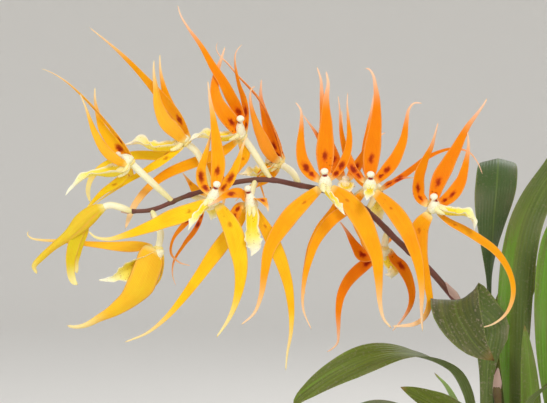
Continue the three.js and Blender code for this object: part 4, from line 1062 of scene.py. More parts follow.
# Blooms, from the foot of the spray to its tip. heart: where the tepals meet. joint: on the spike.
# axis: the way the stalk runs into the bloom. Paths run (right, up, back) from the heart in grid steps.
# A tepal or lip is (widest, ways its inner side faces, path, outline); the outline is named where it isn't
# the usual one.

gridStep = 0.6  # mm
blooms = [
    {"name": "bloom_1", "tone": 0.78, "heart": (-42.7, -18, 341.5), "joint": (-54, 2.5, 316.5),
     "axis": (0.35, -0.8, 0.48), "column": (1, 12, -8),
     "lip": (15, [(0.1, -0.5, 0.85), (0.5, -0.4, 0.75)],
             [(12, -5, -8), (22, -6, -11), (30, -6, -12), (36, -9, -13), (39, -14, -13), (40, -21, -13)]),
     "tepals": [
         (16, [(0.1, -0.95, 0.1)],
          [(6, 26, 3), (16, 45, 4), (24.5, 60.5, 4), (34.5, 80, 3), (43.5, 92.5, 2), (51, 103, 1),
           (54, 109, 0)]),
         (16, [(0.6, -0.8, 0)],
          [(-13, 13, 0), (-14, 28, -1), (-8.5, 46, -1), (-1, 61, 0), (3, 74, 1), (6, 85, 1)]),
         (14, [(-0.3, -0.9, 0.2)], [(20, 14, 2), (29, 28, 3), (34, 47, 3), (36, 62, 2), (35, 76, 1)]),
         (19, [(0, -1, 0.1), (0.3, -0.95, 0.1), (0.2, -0.9, 0.3)],
          [(-12, -19, 2), (-12.5, -40, 3), (-7, -61, 4), (-3, -81, 4), (-2, -91, 4), (-7, -106, 4),
           (-17, -113, 4), (-32, -115, 4), (-39, -115, 4)], "strap"),
         (12, [(0.3, -0.75, 0.6), (0.3, -0.75, 0.6), (0, -0.9, 0.4)],
          [(17, -13, 0), (31, -20.5, 0), (47, -30.5, 0), (62.5, -42, 0), (73.5, -57.5, -1),
           (78.5, -74, -4), (77.5, -87.5, -8), (70.5, -101.5, -13.5), (57.5, -111, -19), (42, -115, -24)])]},
    {"name": "bloom_2", "tone": 1.0, "heart": (-69, 8, 318.4), "joint": (-67.5, 3, 328),
     "axis": (-0.1, 0.45, -0.9), "column": (1, -1, 14),
     "lip": (15, [(-0.5, 0.7, 0.3)], [(5, -12, 7), (10, -20, 8), (13, -25, 7), (8, -28, 5), (1, -28, 4)]),
     "tepals": [
         (12, [(0, -0.9, 0.4), (0.2, -0.95, 0.1)],
          [(10, -12, 2), (18, -20, 3), (24, -31, 3), (28, -45, 3), (27, -58, 2), (20, -71, 1),
           (8, -85, 0)]),
         (13, [(0, -0.9, 0.4), (-0.2, -0.95, 0.1)],
          [(-14, -14, 4), (-26, -24, 5), (-37, -36, 5), (-44, -52, 5), (-46, -67, 4), (-46, -84, 3),
           (-47, -97, 2), (-54, -104, 2), (-58, -106, 2)]),
         (15, [(0.2, -0.95, 0.3)],
          [(-12, -6, -1), (-22, -8, -2), (-31, 4, -2), (-38, 16, -2), (-45, 26, -2)]),
         (10, [(-0.4, -0.8, 0.3)], [(6, 6, 18), (7, 4, 36), (4, -4, 54)]),
         (13, [(0, 0.8, -0.4)], [(-8, -4, 14), (-16, 2, 30), (-20, 10, 48), (-20, 18, 66)])]},
    {"name": "bloom_3", "tone": 0.85, "heart": (-73.7, 12, 351.7), "joint": (-79, 1.5, 341.5),
     "axis": (0.2, 0.85, 0.5), "column": (2, 10, 10),
     "lip": (16, [(0, 0.4, 0.9)], [(0, -9, 16), (2, -16, 26), (4, -26, 34), (4, -36, 36)]),
     "tepals": [
         (8, [(0, -0.7, 0.7), (-0.2, -0.8, 0.6)],
          [(14, 8, 1), (28, 16.5, 2), (41, 26, 3), (54, 36, 3), (74, 43.5, 3), (86, 43.5, 2),
           (95, 40, 1), (103, 30, 0), (108, 18, -1)]),
         (10, [(-0.1, -0.6, 0.8)], [(16, 9, -3), (28, 14, -5), (39, 14.5, -7)]),
         (13, [(0, -0.9, 0.2)], [(-9, 34, 2), (-7, 64, 3), (-4, 84, 3), (-2, 100, 3)]),
         (12, [(0, -0.9, 0.2)], [(18, -20, 8), (32, -36, 10), (42, -56, 10), (46, -78, 9), (48, -96, 9)]),
         (10, [(0, -0.9, 0.2)], [(-16, 14, 10), (-27, 36, 14), (-33, 56, 15), (-34, 84, 15)])]},
    {"name": "bloom_4", "tone": 0.8, "heart": (-80, -22, 354.4), "joint": (-90, 0, 347),
     "axis": (0.1, -0.99, 0.1), "column": (1, 12, -9),
     "lip": (10, [(0, -0.3, 0.95)], [(0, -4, -14), (-1, -7, -24), (-3, -10, -33), (-5, -13, -40)]),
     "tepals": [
         (17, [(0, -1, 0.1)],
          [(2.5, 33, 0), (6, 59, -1), (7.5, 83, -1), (6, 99, -1), (4, 109, -1), (0, 115, -1),
           (-4, 116, -1)]),
         (13, [(-0.3, -0.95, 0)],
          [(16, 15, 0), (26, 28.5, -1), (33.5, 46.5, -1), (36.5, 64, 0), (39, 76, 1), (44, 82, 1),
           (52, 82, 1)]),
         (9, [(0.3, -0.95, 0)], [(-16, 18, 5), (-23, 36, 7), (-27, 56, 8), (-28.5, 78, 8), (-30, 90, 8)]),
         (17, [(0.1, -1, 0.1)],
          [(20, -19, 0), (33, -36, -1), (42, -56, -2), (48, -75, -2), (51, -98, -2), (51, -122, -2),
           (52, -141, -2)]),
         (12, [(-0.1, -1, 0.1)],
          [(-20, -20, 5), (-36, -32, 6), (-50, -50, 6), (-58, -70, 6), (-64, -98, 5), (-64, -120, 5),
           (-56, -140, 5)])]},
    # bloom_5 has no painted shade in the cleft below its anther cap.
    {"name": "bloom_5", "tone": 0.78, "stain": 0, "heart": (-93.3, -8, 355.7), "joint": (-99.5, 0, 351),
     "axis": (-0.2, -0.95, 0.3), "column": (0, 6, -5),
     "lip": (17, [(0, -0.25, 0.95)], [(0, -4, -10), (0, -5, -15), (0, -6, -20), (0, -9, -25)]),
     "tepals": [
         (15, [(0, -1, 0.1)],
          [(-10, 22, 5), (-18, 42, 8), (-21, 70, 9), (-23, 90, 7), (-24, 105, 6), (-28, 118, 5)]),
         (11, [(0.2, -0.9, 0.2)], [(-16, 24, 14), (-26, 48, 18), (-36, 63, 18), (-42, 71, 17)]),
         (11, [(-0.2, -0.9, 0.2)], [(14, 22, 10), (26, 42, 13), (36, 50, 13), (41, 53, 13)]),
         (12, [(0, -1, 0.1)],
          [(-10.5, -27, 7), (-24, -43, 9), (-33.5, -60, 9), (-38.5, -77, 8), (-42, -97, 7),
           (-39.5, -109, 7)]),
         (14, [(0, -1, 0.1)], [(10, -25, 5), (19, -50, 5), (29, -73, 5), (34, -100, 5), (35, -120, 5)])]},
    {"name": "bloom_6", "tone": 0.76, "heart": (-105.9, -26, 356.1), "joint": (-109, 0, 353.4),
     "axis": (0, -0.99, 0.1), "column": (-1, 12, -9),
     "lip": (10, [(0.6, -0.5, 0.6)],
             [(-1, -7, -10), (3, -13, -20), (8, -19, -28), (13, -25, -34), (18, -30, -40)]),
     "tepals": [
         (18, [(0, -1, 0.1)], [(0, 34, -1), (1, 58, -1), (1, 82, 0), (3, 98, 1), (1, 110, 2)]),
         (13, [(0.3, -0.95, 0)],
          [(-15, 11, 0), (-22, 23, -1), (-24, 40, 0), (-23, 58, 1), (-24, 73, 2), (-29, 80, 3)]),
         (9, [(-0.3, -0.95, 0)],
          [(13, 13, -1), (20, 26, -3), (23.5, 42, -3), (22.5, 62, -2), (21.5, 79, -1), (22, 89, -1)]),
         (17, [(-0.1, -1, 0.1)],
          [(-19, -16, 0), (-33.5, -30.5, -2), (-44.5, -45.5, -3), (-54, -62.5, -3), (-58.5, -84, -2),
           (-62, -107, -1), (-69, -125.5, 0), (-82, -137, 1)]),
         (20, [(0.1, -1, 0.1)],
          [(21, -16, -2), (33, -31, -3), (43, -51, -3), (50, -72, -2), (52, -94, -1), (53, -114, -1),
           (57, -131, 0), (65, -140.5, 1)])]},
    {"name": "bloom_7", "tone": 0.8, "heart": (-131.3, 14, 368.7), "joint": (-120.5, 0.5, 356.5),
     "axis": (-0.75, 0.35, 0.55), "column": (-13, 4, 1),
     "lip": (20, [(-0.1, -0.4, 0.9)], [(-13, -9, 0), (-24, -12, -1), (-34, -11, -1), (-44, -10, -1)]),
     "tepals": [
         (12, [(-0.75, -0.2, -0.6)],
          [(-6, 32, 3), (-22, 66, 4), (-32, 78, 3), (-43, 89, 2), (-54, 102, 0), (-63, 111, -1),
           (-66, 118, -2), (-64.5, 124, -2)]),
         (13, [(-0.3, 0.9, 0.2)],
          [(-10, 9, -11), (-19, 26, -13), (-27, 46, -11), (-31, 64, -8), (-30, 76, -6), (-26, 79, -5)]),
         (16, [(-0.3, -0.9, 0.2)],
          [(-5, 13, 11), (-11, 32, 13), (-17, 52, 13), (-20.5, 68, 11), (-20.5, 80, 9), (-20, 87, 8)]),
         (7, [(-0.9, -0.4, 0.1)],
          [(-14, -4, -6), (-23, -11, -5), (-20, -24, -3), (-17, -34, -2), (-13, -46, -1)]),
         (11, [(-0.5, -0.85, 0)], [(-12, -12, 12), (-26, -20, 24), (-38, -28, 36), (-48, -38, 48)])]},
    {"name": "bloom_8", "tone": 0.7, "heart": (-154.2, 0, 384.6), "joint": (-137.5, 0, 359),
     "axis": (-0.55, -0.35, 0.76), "column": (-2.5, 17.5, -14),
     "lip": (18, [(0, -0.35, 0.93)],
             [(-16, -4, -7), (-28, -3, -9), (-38, -1, -11), (-47, -1, -12), (-54, -5, -13)]),
     "tepals": [
         (12, [(-0.1, -0.95, -0.3)],
          [(-4, 24, 2), (-12, 40, -7), (-20, 55, -14), (-31, 72, -16), (-42, 91, -15), (-53, 106, -13),
           (-61.5, 120, -11), (-65, 131, -10)]),
         (17, [(0.3, -0.9, 0.1)],
          [(-6, 7, -7), (-13, 16, -11), (-20, 25, -14), (-27, 39, -13), (-28, 55, -11), (-25, 68, -9),
           (-21, 80, -7), (-18, 90, -5)]),
         (10, [(-0.75, -0.65, 0)], [(3, 30, 1), (-4.5, 55, 0), (-8, 75, -1), (-7, 85, -1), (-1, 93, -1)]),
         (12, [(-0.3, -0.9, 0.3)],
          [(-22, -15, 9), (-46, -24, 14), (-72, -34, 16), (-93, -48, 16), (-109, -67, 15),
           (-116, -83, 14), (-119, -92, 13)], "ribbon"),
         (12, [(-0.2, -0.95, 0.2)],
          [(2, -16, 8), (-5, -28, 10), (-13, -41, 12), (-19, -60, 13), (-22, -80, 13)])]},
    {"name": "bloom_9", "tone": 0.52, "heart": (-149.2, -16, 345), "joint": (-147, 0, 359),
     "axis": (0.1, -0.95, -0.25), "column": (-3, 14, -9),
     "lip": (17, [(0.2, -0.95, 0.2)],
             [(0, -13, -10), (0, -24, -13), (1, -35, -14), (3, -44, -14), (0, -52, -13)]),
     "tepals": [
         (14, [(0.1, -0.85, 0.5), (-0.2, -0.85, 0.5)],
          [(-12, 9, -12), (-24, 7, -23), (-34, 1, -31), (-41, -3, -36)]),
         (11, [(0.2, -0.95, 0)],
          [(-12, -4, -2), (-17, -15, -4), (-16, -30, -5), (-13, -44, -5), (-10, -58, -5)]),
         (12, [(0.2, -0.6, 0.8)], [(9, 4, -12), (13, 0, -24), (16, -4, -35), (17, -8, -44)]),
         (14, [(0.1, -1, 0.1)],
          [(15, -26, 0), (24, -44, 0), (31.5, -63, 0), (37, -84, 1), (39.5, -106, 1), (39, -128, 2),
           (35.5, -148, 2), (34, -165, 2)]),
         (15, [(-0.1, -1, 0.1)],
          [(-18, -26, 6), (-32, -45, 8), (-47, -66, 8), (-64.5, -90, 6), (-82, -111, 4),
           (-102, -127.5, 2), (-125, -137, 1)])]},
    {"name": "bloom_10", "tone": 0.44, "heart": (-170.7, -24, 347.4), "joint": (-163, 0, 356.5),
     "axis": (-0.25, -0.95, -0.15), "column": (3, 14, -10),
     "lip": (10, [(-0.2, -0.4, 0.9)], [(-7, -9, -13), (-13, -16, -20), (-19, -23, -26), (-24, -30, -30)]),
     "tepals": [
         (14, [(0, -1, 0.1)], [(4, 34, -1), (2, 58, -3), (-1, 80, -3), (-4, 98, -3), (-6, 115, -4)]),
         (11, [(0.3, -0.95, 0)], [(-11, 14, 1), (-13, 26, 1), (-9, 42, 3), (-5, 57, 5), (-2, 71, 7)]),
         (11, [(-0.3, -0.95, 0)], [(14, 17, 0), (22, 33, 1), (27, 49, 2), (32, 63, 3)]),
         (17, [(-0.1, -1, 0.1)],
          [(-24, -12, 0), (-44, -19.5, -1), (-64, -27.5, 0), (-84, -34.5, 1), (-103, -39, 2),
           (-116, -37, 2), (-123, -31, 2)]),
         (19, [(0.1, -1, 0.1)],
          [(16, -26, -1), (23.5, -50, -2), (26, -71, -1), (23.5, -91, 0), (18, -109, 1),
           (10.5, -123, 1), (2, -135, 1)])]},
    {"name": "bloom_11", "tone": 0.41, "heart": (-187.9, 2, 381.1), "joint": (-173, 0, 353.8),
     "axis": (-0.7, 0, 0.7), "column": (-13, 9, 0),
     "lip": (19, [(0.1, -0.3, 0.95)],
             [(-12, -6, -1), (-26, -8, -2), (-38, -6, -2), (-46, -1, -3), (-54, -1, -4), (-64, -2, -6)]),
     "tepals": [
         (14, [(-0.5, -0.7, -0.4)],
          [(-10, 28, 3), (-34, 56, 4), (-57, 81, 3), (-78, 100, 1), (-98, 116, -2)]),
         (15, [(-0.3, 0.9, 0.2)],
          [(-10, 10, -11), (-21.5, 22, -13), (-28, 38, -12), (-31, 56, -8), (-33, 71, -5), (-33, 83, -3)]),
         (13, [(-0.3, -0.9, 0.2)],
          [(-8, 17, 11), (-17, 36, 13), (-24, 56, 12), (-27.5, 74, 10), (-28, 90, 8)]),
         (10, [(-0.3, -0.8, 0.5)],
          [(-18, -14, -4), (-38, -26, 0), (-58, -37, 4), (-75, -48, 9), (-90, -58, 14), (-100, -66, 18)]),
         (11, [(-0.1, -0.8, 0.6), (-0.5, -0.8, 0.2)],
          [(-25, -12, 13), (-55, -12, 18), (-74, -17, 21), (-90, -25, 23), (-99.5, -37, 24),
           (-102, -48, 24), (-100, -60, 24)], "ribbon")]},
    {"name": "bloom_12", "tone": 0.7, "heart": (-176.3, 13, 345), "joint": (-186, 0.5, 349.8),
     "axis": (0.4, 0.85, -0.35), "column": (3, 8, 10),
     "lip": (14, [(0.2, 0.7, 0.6)], [(2, -4, 14), (3, -9, 26), (3, -14, 36), (2, -18, 44)]),
     "tepals": [
         (12, [(0.2, -0.7, 0.6)], [(12, 12, 10), (14, 26, 26), (10, 40, 42)]),
         (9, [(-0.7, -0.6, 0.3)],
          [(-23, -22, 0), (-35, -38, 0), (-36.5, -51, 0), (-28.5, -60, 0), (-17, -63.5, 0)]),
         (9, [(-0.7, -0.6, 0.3)],
          [(-10, -24, 5), (-24, -43, 5), (-34, -59, 5), (-35.5, -73, 4), (-32, -84, 4)]),
         (12, [(0.3, -0.9, 0.3)], [(-9, 9, 6), (-17, 19, 11), (-26, 31, 15)]),
         (12, [(0, -0.95, 0.1)], [(0, 18, 12), (2, 38, 19), (6, 58, 20), (9, 78, 19)])]},
    {"name": "bloom_13", "tone": 0.36, "heart": (-220.8, -6, 368.8), "joint": (-196.5, 0, 346),
     "axis": (-0.72, -0.1, 0.68), "column": (-13, 8, 0),
     "lip": (18, [(0.2, -0.4, 0.9)],
             [(-10, -11, -1), (-23, -13.5, -1), (-34, -12, -2), (-41, -13, -2), (-48, -16, -2),
              (-55, -21.5, -3), (-61, -27, -3), (-65, -32, -4)], "slender"),
     "tepals": [
         (10, [(-0.65, -0.35, -0.65)],
          [(-9, 21, 2), (-26, 42, 3), (-38, 56, 3), (-52, 70, 2), (-66, 82, 1), (-79, 90, 0),
           (-89, 94, -2)]),
         (10.5, [(-0.3, 0.9, 0.2)],
          [(-12, 2, -10), (-24, 12, -12), (-33, 26, -11), (-39.5, 41, -8), (-44.5, 55, -5),
           (-50.5, 69, -3)]),
         (14, [(-0.3, -0.9, 0.2)],
          [(-9.5, 12, 10), (-21, 23, 12), (-30, 36, 12), (-34.5, 50, 11), (-37, 64, 9), (-37, 76, 8)]),
         (9, [(-0.7, -0.2, -0.65)],
          [(-6, -11, 2), (-15, -19, 8), (-27, -26.5, 14), (-38, -36, 18), (-48, -48, 21), (-54, -62, 22)]),
         (9, [(-0.6, -0.5, -0.6)], [(-2, -8, 17), (-7, -15, 34), (-14, -21, 50), (-25, -27, 64)])]},
    {"name": "bud_1", "tone": 0.2, "heart": (-204.9, -4, 318.1), "joint": (-209, 0, 341),
     "axis": (-0.15, 0, -0.98), "column": (-6, -10, 0), "ridges": (),
     "lip": (23, [(0.3, -0.9, -0.2)],
             [(-13, -13, -4), (-25, -19, -6), (-34, -24, -6), (-43, -29, -5), (-51, -31, -5),
              (-59, -31.5, -4)], "tongue"),
     "tepals": [
         (12.5, [(0, 0.85, -0.45)],
          [(-14, 2, 2), (-38, 2, 7), (-58, 3, 10), (-78, 5, 11), (-98, 7, 11), (-118, 8, 10),
           (-128, 10, 9), (-132, 14, 9), (-130, 17, 9)], "strap"),
         (29, [(-0.3, 0.9, 0.2)],
          [(-5, -8, -9), (-9, -20, -14), (-14, -33, -14), (-24, -47, -11), (-39, -59, -7),
           (-57, -69, -4), (-73, -77, -2), (-84, -78.5, -1), (-91, -77, 0)], "boat"),
         (17, [(-0.5, -0.8, 0.3)],
          [(-13, -20, 12), (-20, -36, 13), (-31, -50, 11), (-45, -60, 8), (-60, -68, 6)]),
         (8, [(-0.9, -0.3, 0.2)], [(5, -17, 0), (1, -32, 0), (-10, -43, 0), (-21, -49, 1)])]},
]

tepalCut = {
    "rows": 48,
    "around": 18,
    "thick": 1.1,
    "roll": 0.75,  # thickness of the needle tip as a share of its width
    "channel": [(0, 0.16), (0.6, 0.16), (1, 0.3)],
    "bend": 1.5,
    "keel": 0.03,
    "waves": 3.2,
    "waveFrom": 0.05,
    "waveHigh": 0.07,
    "frill": 0.015,
    "outline": [(0, 0.42), (0.12, 0.8), (0.26, 1), (0.45, 0.76), (0.64, 0.46), (0.8, 0.25),
                (0.92, 0.14), (1, 0.08)],
}
otherOutlines = {
    "strap": [(0, 0.45), (0.1, 0.86), (0.19, 1), (0.3, 0.84), (0.42, 0.58), (0.56, 0.42), (0.72, 0.3),
              (0.88, 0.2), (1, 0.09)],
    "boat": [(0, 0.7), (0.1, 1), (0.3, 1), (0.5, 0.64), (0.68, 0.36), (0.84, 0.2), (1, 0.08)],
    "ribbon": [(0, 0.45), (0.15, 0.95), (0.35, 1), (0.6, 0.82), (0.8, 0.64), (0.92, 0.5), (1, 0.12)],
    "slender": [(0, 0.4), (0.14, 0.8), (0.3, 1), (0.44, 0.78), (0.52, 0.5), (0.62, 0.68), (0.74, 0.52),
                (0.88, 0.28), (1, 0.05)],
    "tongue": [(0, 0.4), (0.2, 0.7), (0.4, 1), (0.54, 0.95), (0.68, 0.45), (0.82, 0.24), (1, 0.05)],
}
lipCut = {
    "rows": 60,
    "around": 28,
    "thick": 0.9,
    "roll": 0.6,
    "channel": [(0, 1.2), (0.45, 1.1), (0.62, 0.75), (0.85, 0.5), (1, 0.3)],
    "bend": 1.35,
    "keel": -0.05,
    "waves": 4.6,
    "waveFrom": 0.42,
    "waveHigh": 0.24,
    "frill": 0.1,
    "outline": [(0, 0.4), (0.14, 0.62), (0.3, 0.8), (0.46, 0.72), (0.6, 0.95), (0.7, 1), (0.82, 0.72),
                (0.9, 0.34), (0.95, 0.16), (1, 0.05)],
}
stalkLook = {
    "stalk": [(0, 1.3), (0.14, 1.9), (0.6, 2.05), (1, 2.1)],  # mm, radius from the joint to the heart
    "stalkGrid": (34, 14),  # rows, and steps around
    "straight": 9,  # mm of stalk that runs into the bloom without a bend
    "ahead": 2.9,
    "hubRing": 2.7,
    "hubRadius": 3.1,
    "hubFlat": 0.55,
    "column": [(0, 2.8), (0.3, 4.1), (0.55, 3.9), (0.74, 3.1), (0.86, 1.8), (1, 1.6)],  # mm, heart to cap
    "columnGrid": (40, 24),
    "columnFlat": 0.85,
    "capSizes": (2.35, 2.2, 1.9),
    "capRise": 0.2,
    "cleft": 1.9,  # mm below the cap
    # mm, size of the band of painted shade in the cleft
    "stainTall": 0.8,
    "stainWide": 1.9,
    "stainReach": 4,
    "callusGrid": (14, 12),
    "callusLong": 0.26,  # share of the lip
    "callusRadius": 1.9,
    "callusPlace": (1.7, 1.1),  # mm from the lip's middle line, and over it
}


# Upper sepal, petals, lower sepals: their two spots, mm from the root, the size and strength of these, and
# how much deeper the orange is than the bloom's own.
tepalLooks = [
    (noSpot, 14, 0.95, 0.82, 0.2),
    (6.5, 12.5, 1.1, 0.9, 0.12),
    (6.5, 12.5, 1.1, 0.9, 0.12),
    (noSpot, 14, 0.55, 0.35, -0.14),
]


def fromHeart(bloom, steps):
    right, up, back = steps
    return Vector(bloom["heart"]) + Vector((right, back, up)) * gridStep


def heartOf(bloom):
    # The middle, the way the stalk runs into it, and the point ahead where lip and column begin.
    middle, way = Vector(bloom["heart"]), Vector(bloom["axis"]).normalized()
    return middle, way, middle + way * stalkLook["ahead"]


def finishFlower(bm, bloom, part, finish, node):
    finishPiece(bm, bloom["name"].replace("_", "") + part, finish, [bloom["name"] + node])


def makeTepals(bloom, number, finish):
    bm = newSkin()
    middle, way, _ = heartOf(bloom)
    draw = random.Random(100 + number)
    for k, (wide, faces, path, *shape) in enumerate(bloom["tepals"]):
        points = [fromHeart(bloom, steps) for steps in path]
        root = middle + squareTo(points[0] - middle, way) * stalkLook["hubRing"]
        near, far, size, strong, deeper = tepalLooks[min(k, 3)]
        spots = (near + draw.uniform(-1, 1), far + draw.uniform(-1, 1.5), size * draw.uniform(0.85, 1.2),
                 strong)
        addBlade(bm, [root, *points], wide * gridStep, faces, tepalCut, bloom["tone"] + deeper, spots,
                 seed=number * 10 + k, outline=otherOutlines[shape[0]] if shape else None)
    size = stalkLook["hubRadius"]
    flat = size * stalkLook["hubFlat"]
    addBead(bm, middle, way, (size, size, flat), bloom["tone"], spotNear=noSpot, spotFar=noSpot, spotSize=1)
    finishFlower(bm, bloom, "Tepals", finish, "_tepals")


def makeLip(bloom, number):
    bm = newSkin()
    wide, faces, path, *shape = bloom["lip"]
    knots = [heartOf(bloom)[2], *[fromHeart(bloom, steps) for steps in path]]
    addBlade(bm, knots, wide * gridStep, faces, lipCut, 0.0, seed=number,
             outline=otherOutlines[shape[0]] if shape else None)
    # Two plump callus ridges lie side by side on the lip's root.
    stops, _ = smoothLine(knots, 30)
    last = round(30 * stalkLook["callusLong"])
    normal = squareTo(Vector(faces[0]), stops[0][1])
    side = normal.cross(stops[0][1])
    callus, (apart, over) = stalkLook["callusRadius"], stalkLook["callusPlace"]
    for hand in bloom.get("ridges", (-1, 1)):
        ridge = [stops[n][0] + side * hand * apart + normal * over for n in (0, last // 2, last)]
        addTube(bm, ridge, lambda at: callus * math.sin(math.pi * (0.1 + 0.86 * at)) ** 0.6,
                *stalkLook["callusGrid"], tone=0.9)
    finishFlower(bm, bloom, "Lip", lipFinish, "_lip_and_stalk")


def makeStalk(bloom):
    bm = newSkin()
    middle, way, ahead = heartOf(bloom)
    root, cap = Vector(bloom["joint"]), fromHeart(bloom, bloom["column"])
    behind = middle - way * min(stalkLook["straight"], (root - middle).length * 0.4)
    addTube(bm, [root, behind, middle, ahead], lambda at: shareAt(stalkLook["stalk"], at),
            *stalkLook["stalkGrid"], tone=0.0)
    rise = (cap - ahead).normalized()
    front = squareTo(fromHeart(bloom, bloom["lip"][2][1]) - middle, rise)
    addTube(bm, [middle, ahead, cap], lambda at: shareAt(stalkLook["column"], at),
            *stalkLook["columnGrid"], tone=0.6, flat=stalkLook["columnFlat"], faces=rise.cross(front))
    # Painted shade: the front of the column darkens in a band in the cleft below the anther cap.
    cleft = cap - rise * stalkLook["cleft"]
    for vert in bm.verts:
        gap = vert.co - cleft
        if gap.length < stalkLook["stainReach"] and gap.dot(front) > 0:
            thin = abs(gap.dot(rise)) / stalkLook["stainTall"]
            wide = (gap - rise * gap.dot(rise) - front * gap.dot(front)).length / stalkLook["stainWide"]
            mark(bm, vert, stain=min(max(2 - 1.6 * math.hypot(thin, wide), 0), 1) * bloom.get("stain", 1))
    addBead(bm, cap + rise * stalkLook["capRise"], rise, stalkLook["capSizes"], tone=0.0, share=1.0)
    finishFlower(bm, bloom, "Stalk", stalkFinish, "_lip_and_stalk")


for number, bloom in enumerate(blooms):
    makeTepals(bloom, number, petalFinish)
    makeLip(bloom, number)
    makeStalk(bloom)
print("blooms made")


# The last bud is still shut: a pod with two tips hanging from it.
shutBud = {
    "name": "bud_2",
    "tone": 0.02,
    "heart": (-238.6, -4, 343.2),
    "joint": (-221, -1, 340),
    "stalk": [(18, -1, 1), (8, 1, 0), (-3, -3, 0)],
    "pod": [(4, 0, 0), (-8, -6, 0), (-19, -15, 0), (-32, -28, 0), (-47, -39.5, 0), (-60, -51, 0),
            (-67.5, -60, 0), (-64.5, -67.5, 0)],
    "podRadii": [1.8, 4.8, 5.6, 3.7, 2.3, 2.0, 1.5, 0.5],
    "groove": 0.14,
    "rows": 64,
    "around": 36,
    "stalkGrid": (30, 14),
    "tips": [
        (13, [(0.5, -0.85, 0)],
         [(-18, -14, 0), (-25, -29, 1), (-29.5, -42, 1), (-31.5, -56, 1), (-31, -68, 1), (-28.5, -75, 1),
          (-24, -78.5, 1)]),
        (10, [(0.5, -0.85, 0)], [(-15, -16, 4), (-21, -31, 6), (-25.5, -46, 8), (-27.5, -58, 9),
                                 (-26, -67.5, 9)]),
    ],
}


def makeShutBud():
    bm = newSkin()
    rows, around = shutBud["rows"], shutBud["around"]
    knots = [fromHeart(shutBud, steps) for steps in shutBud["pod"]]
    radii = [(k / (len(knots) - 1), r) for k, r in enumerate(shutBud["podRadii"])]
    stops, length = smoothLine(knots, rows)
    side = Vector((0, -1, 0))
    frames = []
    for point, way, at in stops:
        side = squareTo(side, way)
        frames.append((point, side, way.cross(side), shareAt(radii, at), at))

    def place(vert, row, turn):
        point, side, across, radius, at = frames[row]
        angle = 2 * math.pi * turn
        seam = abs(math.sin(1.5 * angle + 0.6 + 1.2 * at))  # the sepals' edges wind a little
        size = radius * (1 - shutBud["groove"] * (1 - seam) ** 4)
        if row in (0, rows):
            size = 0
        vert.co = point + side * size * math.cos(angle) + across * size * math.sin(angle)
        mark(bm, vert, share=at * 0.9, reach=at * length, offset=angle * radius, rim=1 - seam,
             tone=shutBud["tone"], spotNear=noSpot, spotFar=noSpot, spotSize=1)

    rollUp(bm, rows, around, place)
    for k, (wide, faces, path) in enumerate(shutBud["tips"]):
        points = [fromHeart(shutBud, steps) for steps in path]
        addBlade(bm, points, wide * gridStep, faces, tepalCut, shutBud["tone"], seed=900 + k,
                 outline=otherOutlines["ribbon"])
    finishFlower(bm, shutBud, "Pod", petalFinish, "_pod")

    bm = newSkin()
    points = [Vector(shutBud["joint"]), *[fromHeart(shutBud, steps) for steps in shutBud["stalk"]]]
    addTube(bm, points, lambda at: shareAt(stalkLook["stalk"], at), *shutBud["stalkGrid"], tone=0.0)
    finishFlower(bm, shutBud, "Stalk", stalkFinish, "_stalk")


makeShutBud()
print("shut bud made")


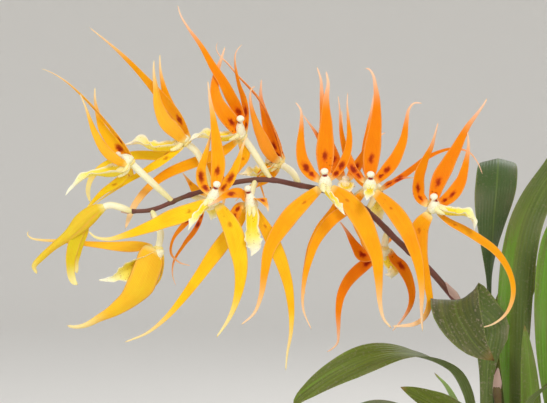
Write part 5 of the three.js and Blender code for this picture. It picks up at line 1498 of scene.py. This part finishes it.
spike = {
    "foot": 2.4,
    "tip": 1.25,
    "rows": 150,
    "around": 14,
    "fine": 400,  # stops among which a joint finds its place
    "swell": 0.3,
    "swellLong": 0.004,  # share of the spike
    "ripe": (230, 60),  # mm, where the purple begins, and over how much height it comes in
    "path": [
        (-6, -13, 100), (-6, -13, 150), (-5, -12, 200), (-3, -11, 228), (-7, -6, 252), (-17, 2, 274),
        (-29, 6, 290), (-43, 4, 306), (-62, 3, 323), (-76, 2, 337), (-90, 0, 347), (-107, 0, 353),
        (-122, 0, 356), (-138, 0, 359), (-156, 0, 358), (-172, 0, 354), (-189, 0, 349), (-209, 0, 341),
        (-221, -1, 340),
    ],
    "sheaths": [
        ((-4.2, -10.6, 232), (-3.4, -15, 248), 6),
        ((-24, 5, 284), (-33, -1, 298), 5),
        ((-6, -13, 165), (-4, -16.8, 182), 7),
    ],
    "tone": (0.36, 0.14),  # at the foot, and how much more when ripe
    "sheathTone": 0.95,
    "bractTone": 0.9,
    "bractLong": 7,
    "bractWide": 3.6,
    "bractDroop": (0, 1.2, -1.6),
    "scaleFaces": (0.2, 0.9, 0.4),
}
bractCut = {
    "rows": 16,
    "around": 14,
    "thick": 0.8,
    "roll": 0.6,
    "channel": [(0, 0.7), (1, 0.3)],
    "bend": 1.6,
    "keel": 0.05,
    "waves": 1,
    "waveFrom": 0.3,
    "waveHigh": 0.1,
    "frill": 0.02,
    "outline": [(0, 0.8), (0.35, 1), (0.75, 0.5), (1, 0.1)],
}


def makeSpike():
    bm = newSkin()
    joints = [Vector(bloom["joint"]) for bloom in [*blooms, shutBud]]
    joints += [Vector(at) for at, _, _ in spike["sheaths"]]
    stops, _ = smoothLine(spike["path"], spike["fine"])
    places = [min(stops, key=lambda stop: (stop[0] - joint).length)[2] for joint in joints]

    def radiusAt(at):
        lump = max(math.exp(-((at - place) / spike["swellLong"]) ** 2) for place in places)
        return (spike["foot"] + (spike["tip"] - spike["foot"]) * at) * (1 + spike["swell"] * lump)

    addTube(bm, spike["path"], radiusAt, spike["rows"], spike["around"], tone=0.5)
    (low, tall), (green, riper) = spike["ripe"], spike["tone"]
    for vert in bm.verts:
        mark(bm, vert, tone=green + riper * min(max((vert.co.z - low) / tall, 0), 1))
    scales = []
    for bloom in [*blooms, shutBud]:
        joint, heart = Vector(bloom["joint"]), Vector(bloom["heart"])
        end = joint + (heart - joint).normalized() * spike["bractLong"] + Vector(spike["bractDroop"])
        scales.append((joint, end, spike["bractWide"], spike["bractTone"]))
    for foot, tip, wide in spike["sheaths"]:
        scales.append((Vector(foot), Vector(tip), wide, spike["sheathTone"]))
    for foot, tip, wide, tone in scales:
        addBlade(bm, [foot, foot.lerp(tip, 0.5), tip], wide, [spike["scaleFaces"]], bractCut, tone)
    finishPiece(bm, "flowerSpike", stemFinish, ["spike"])


makeSpike()
print("spike made")
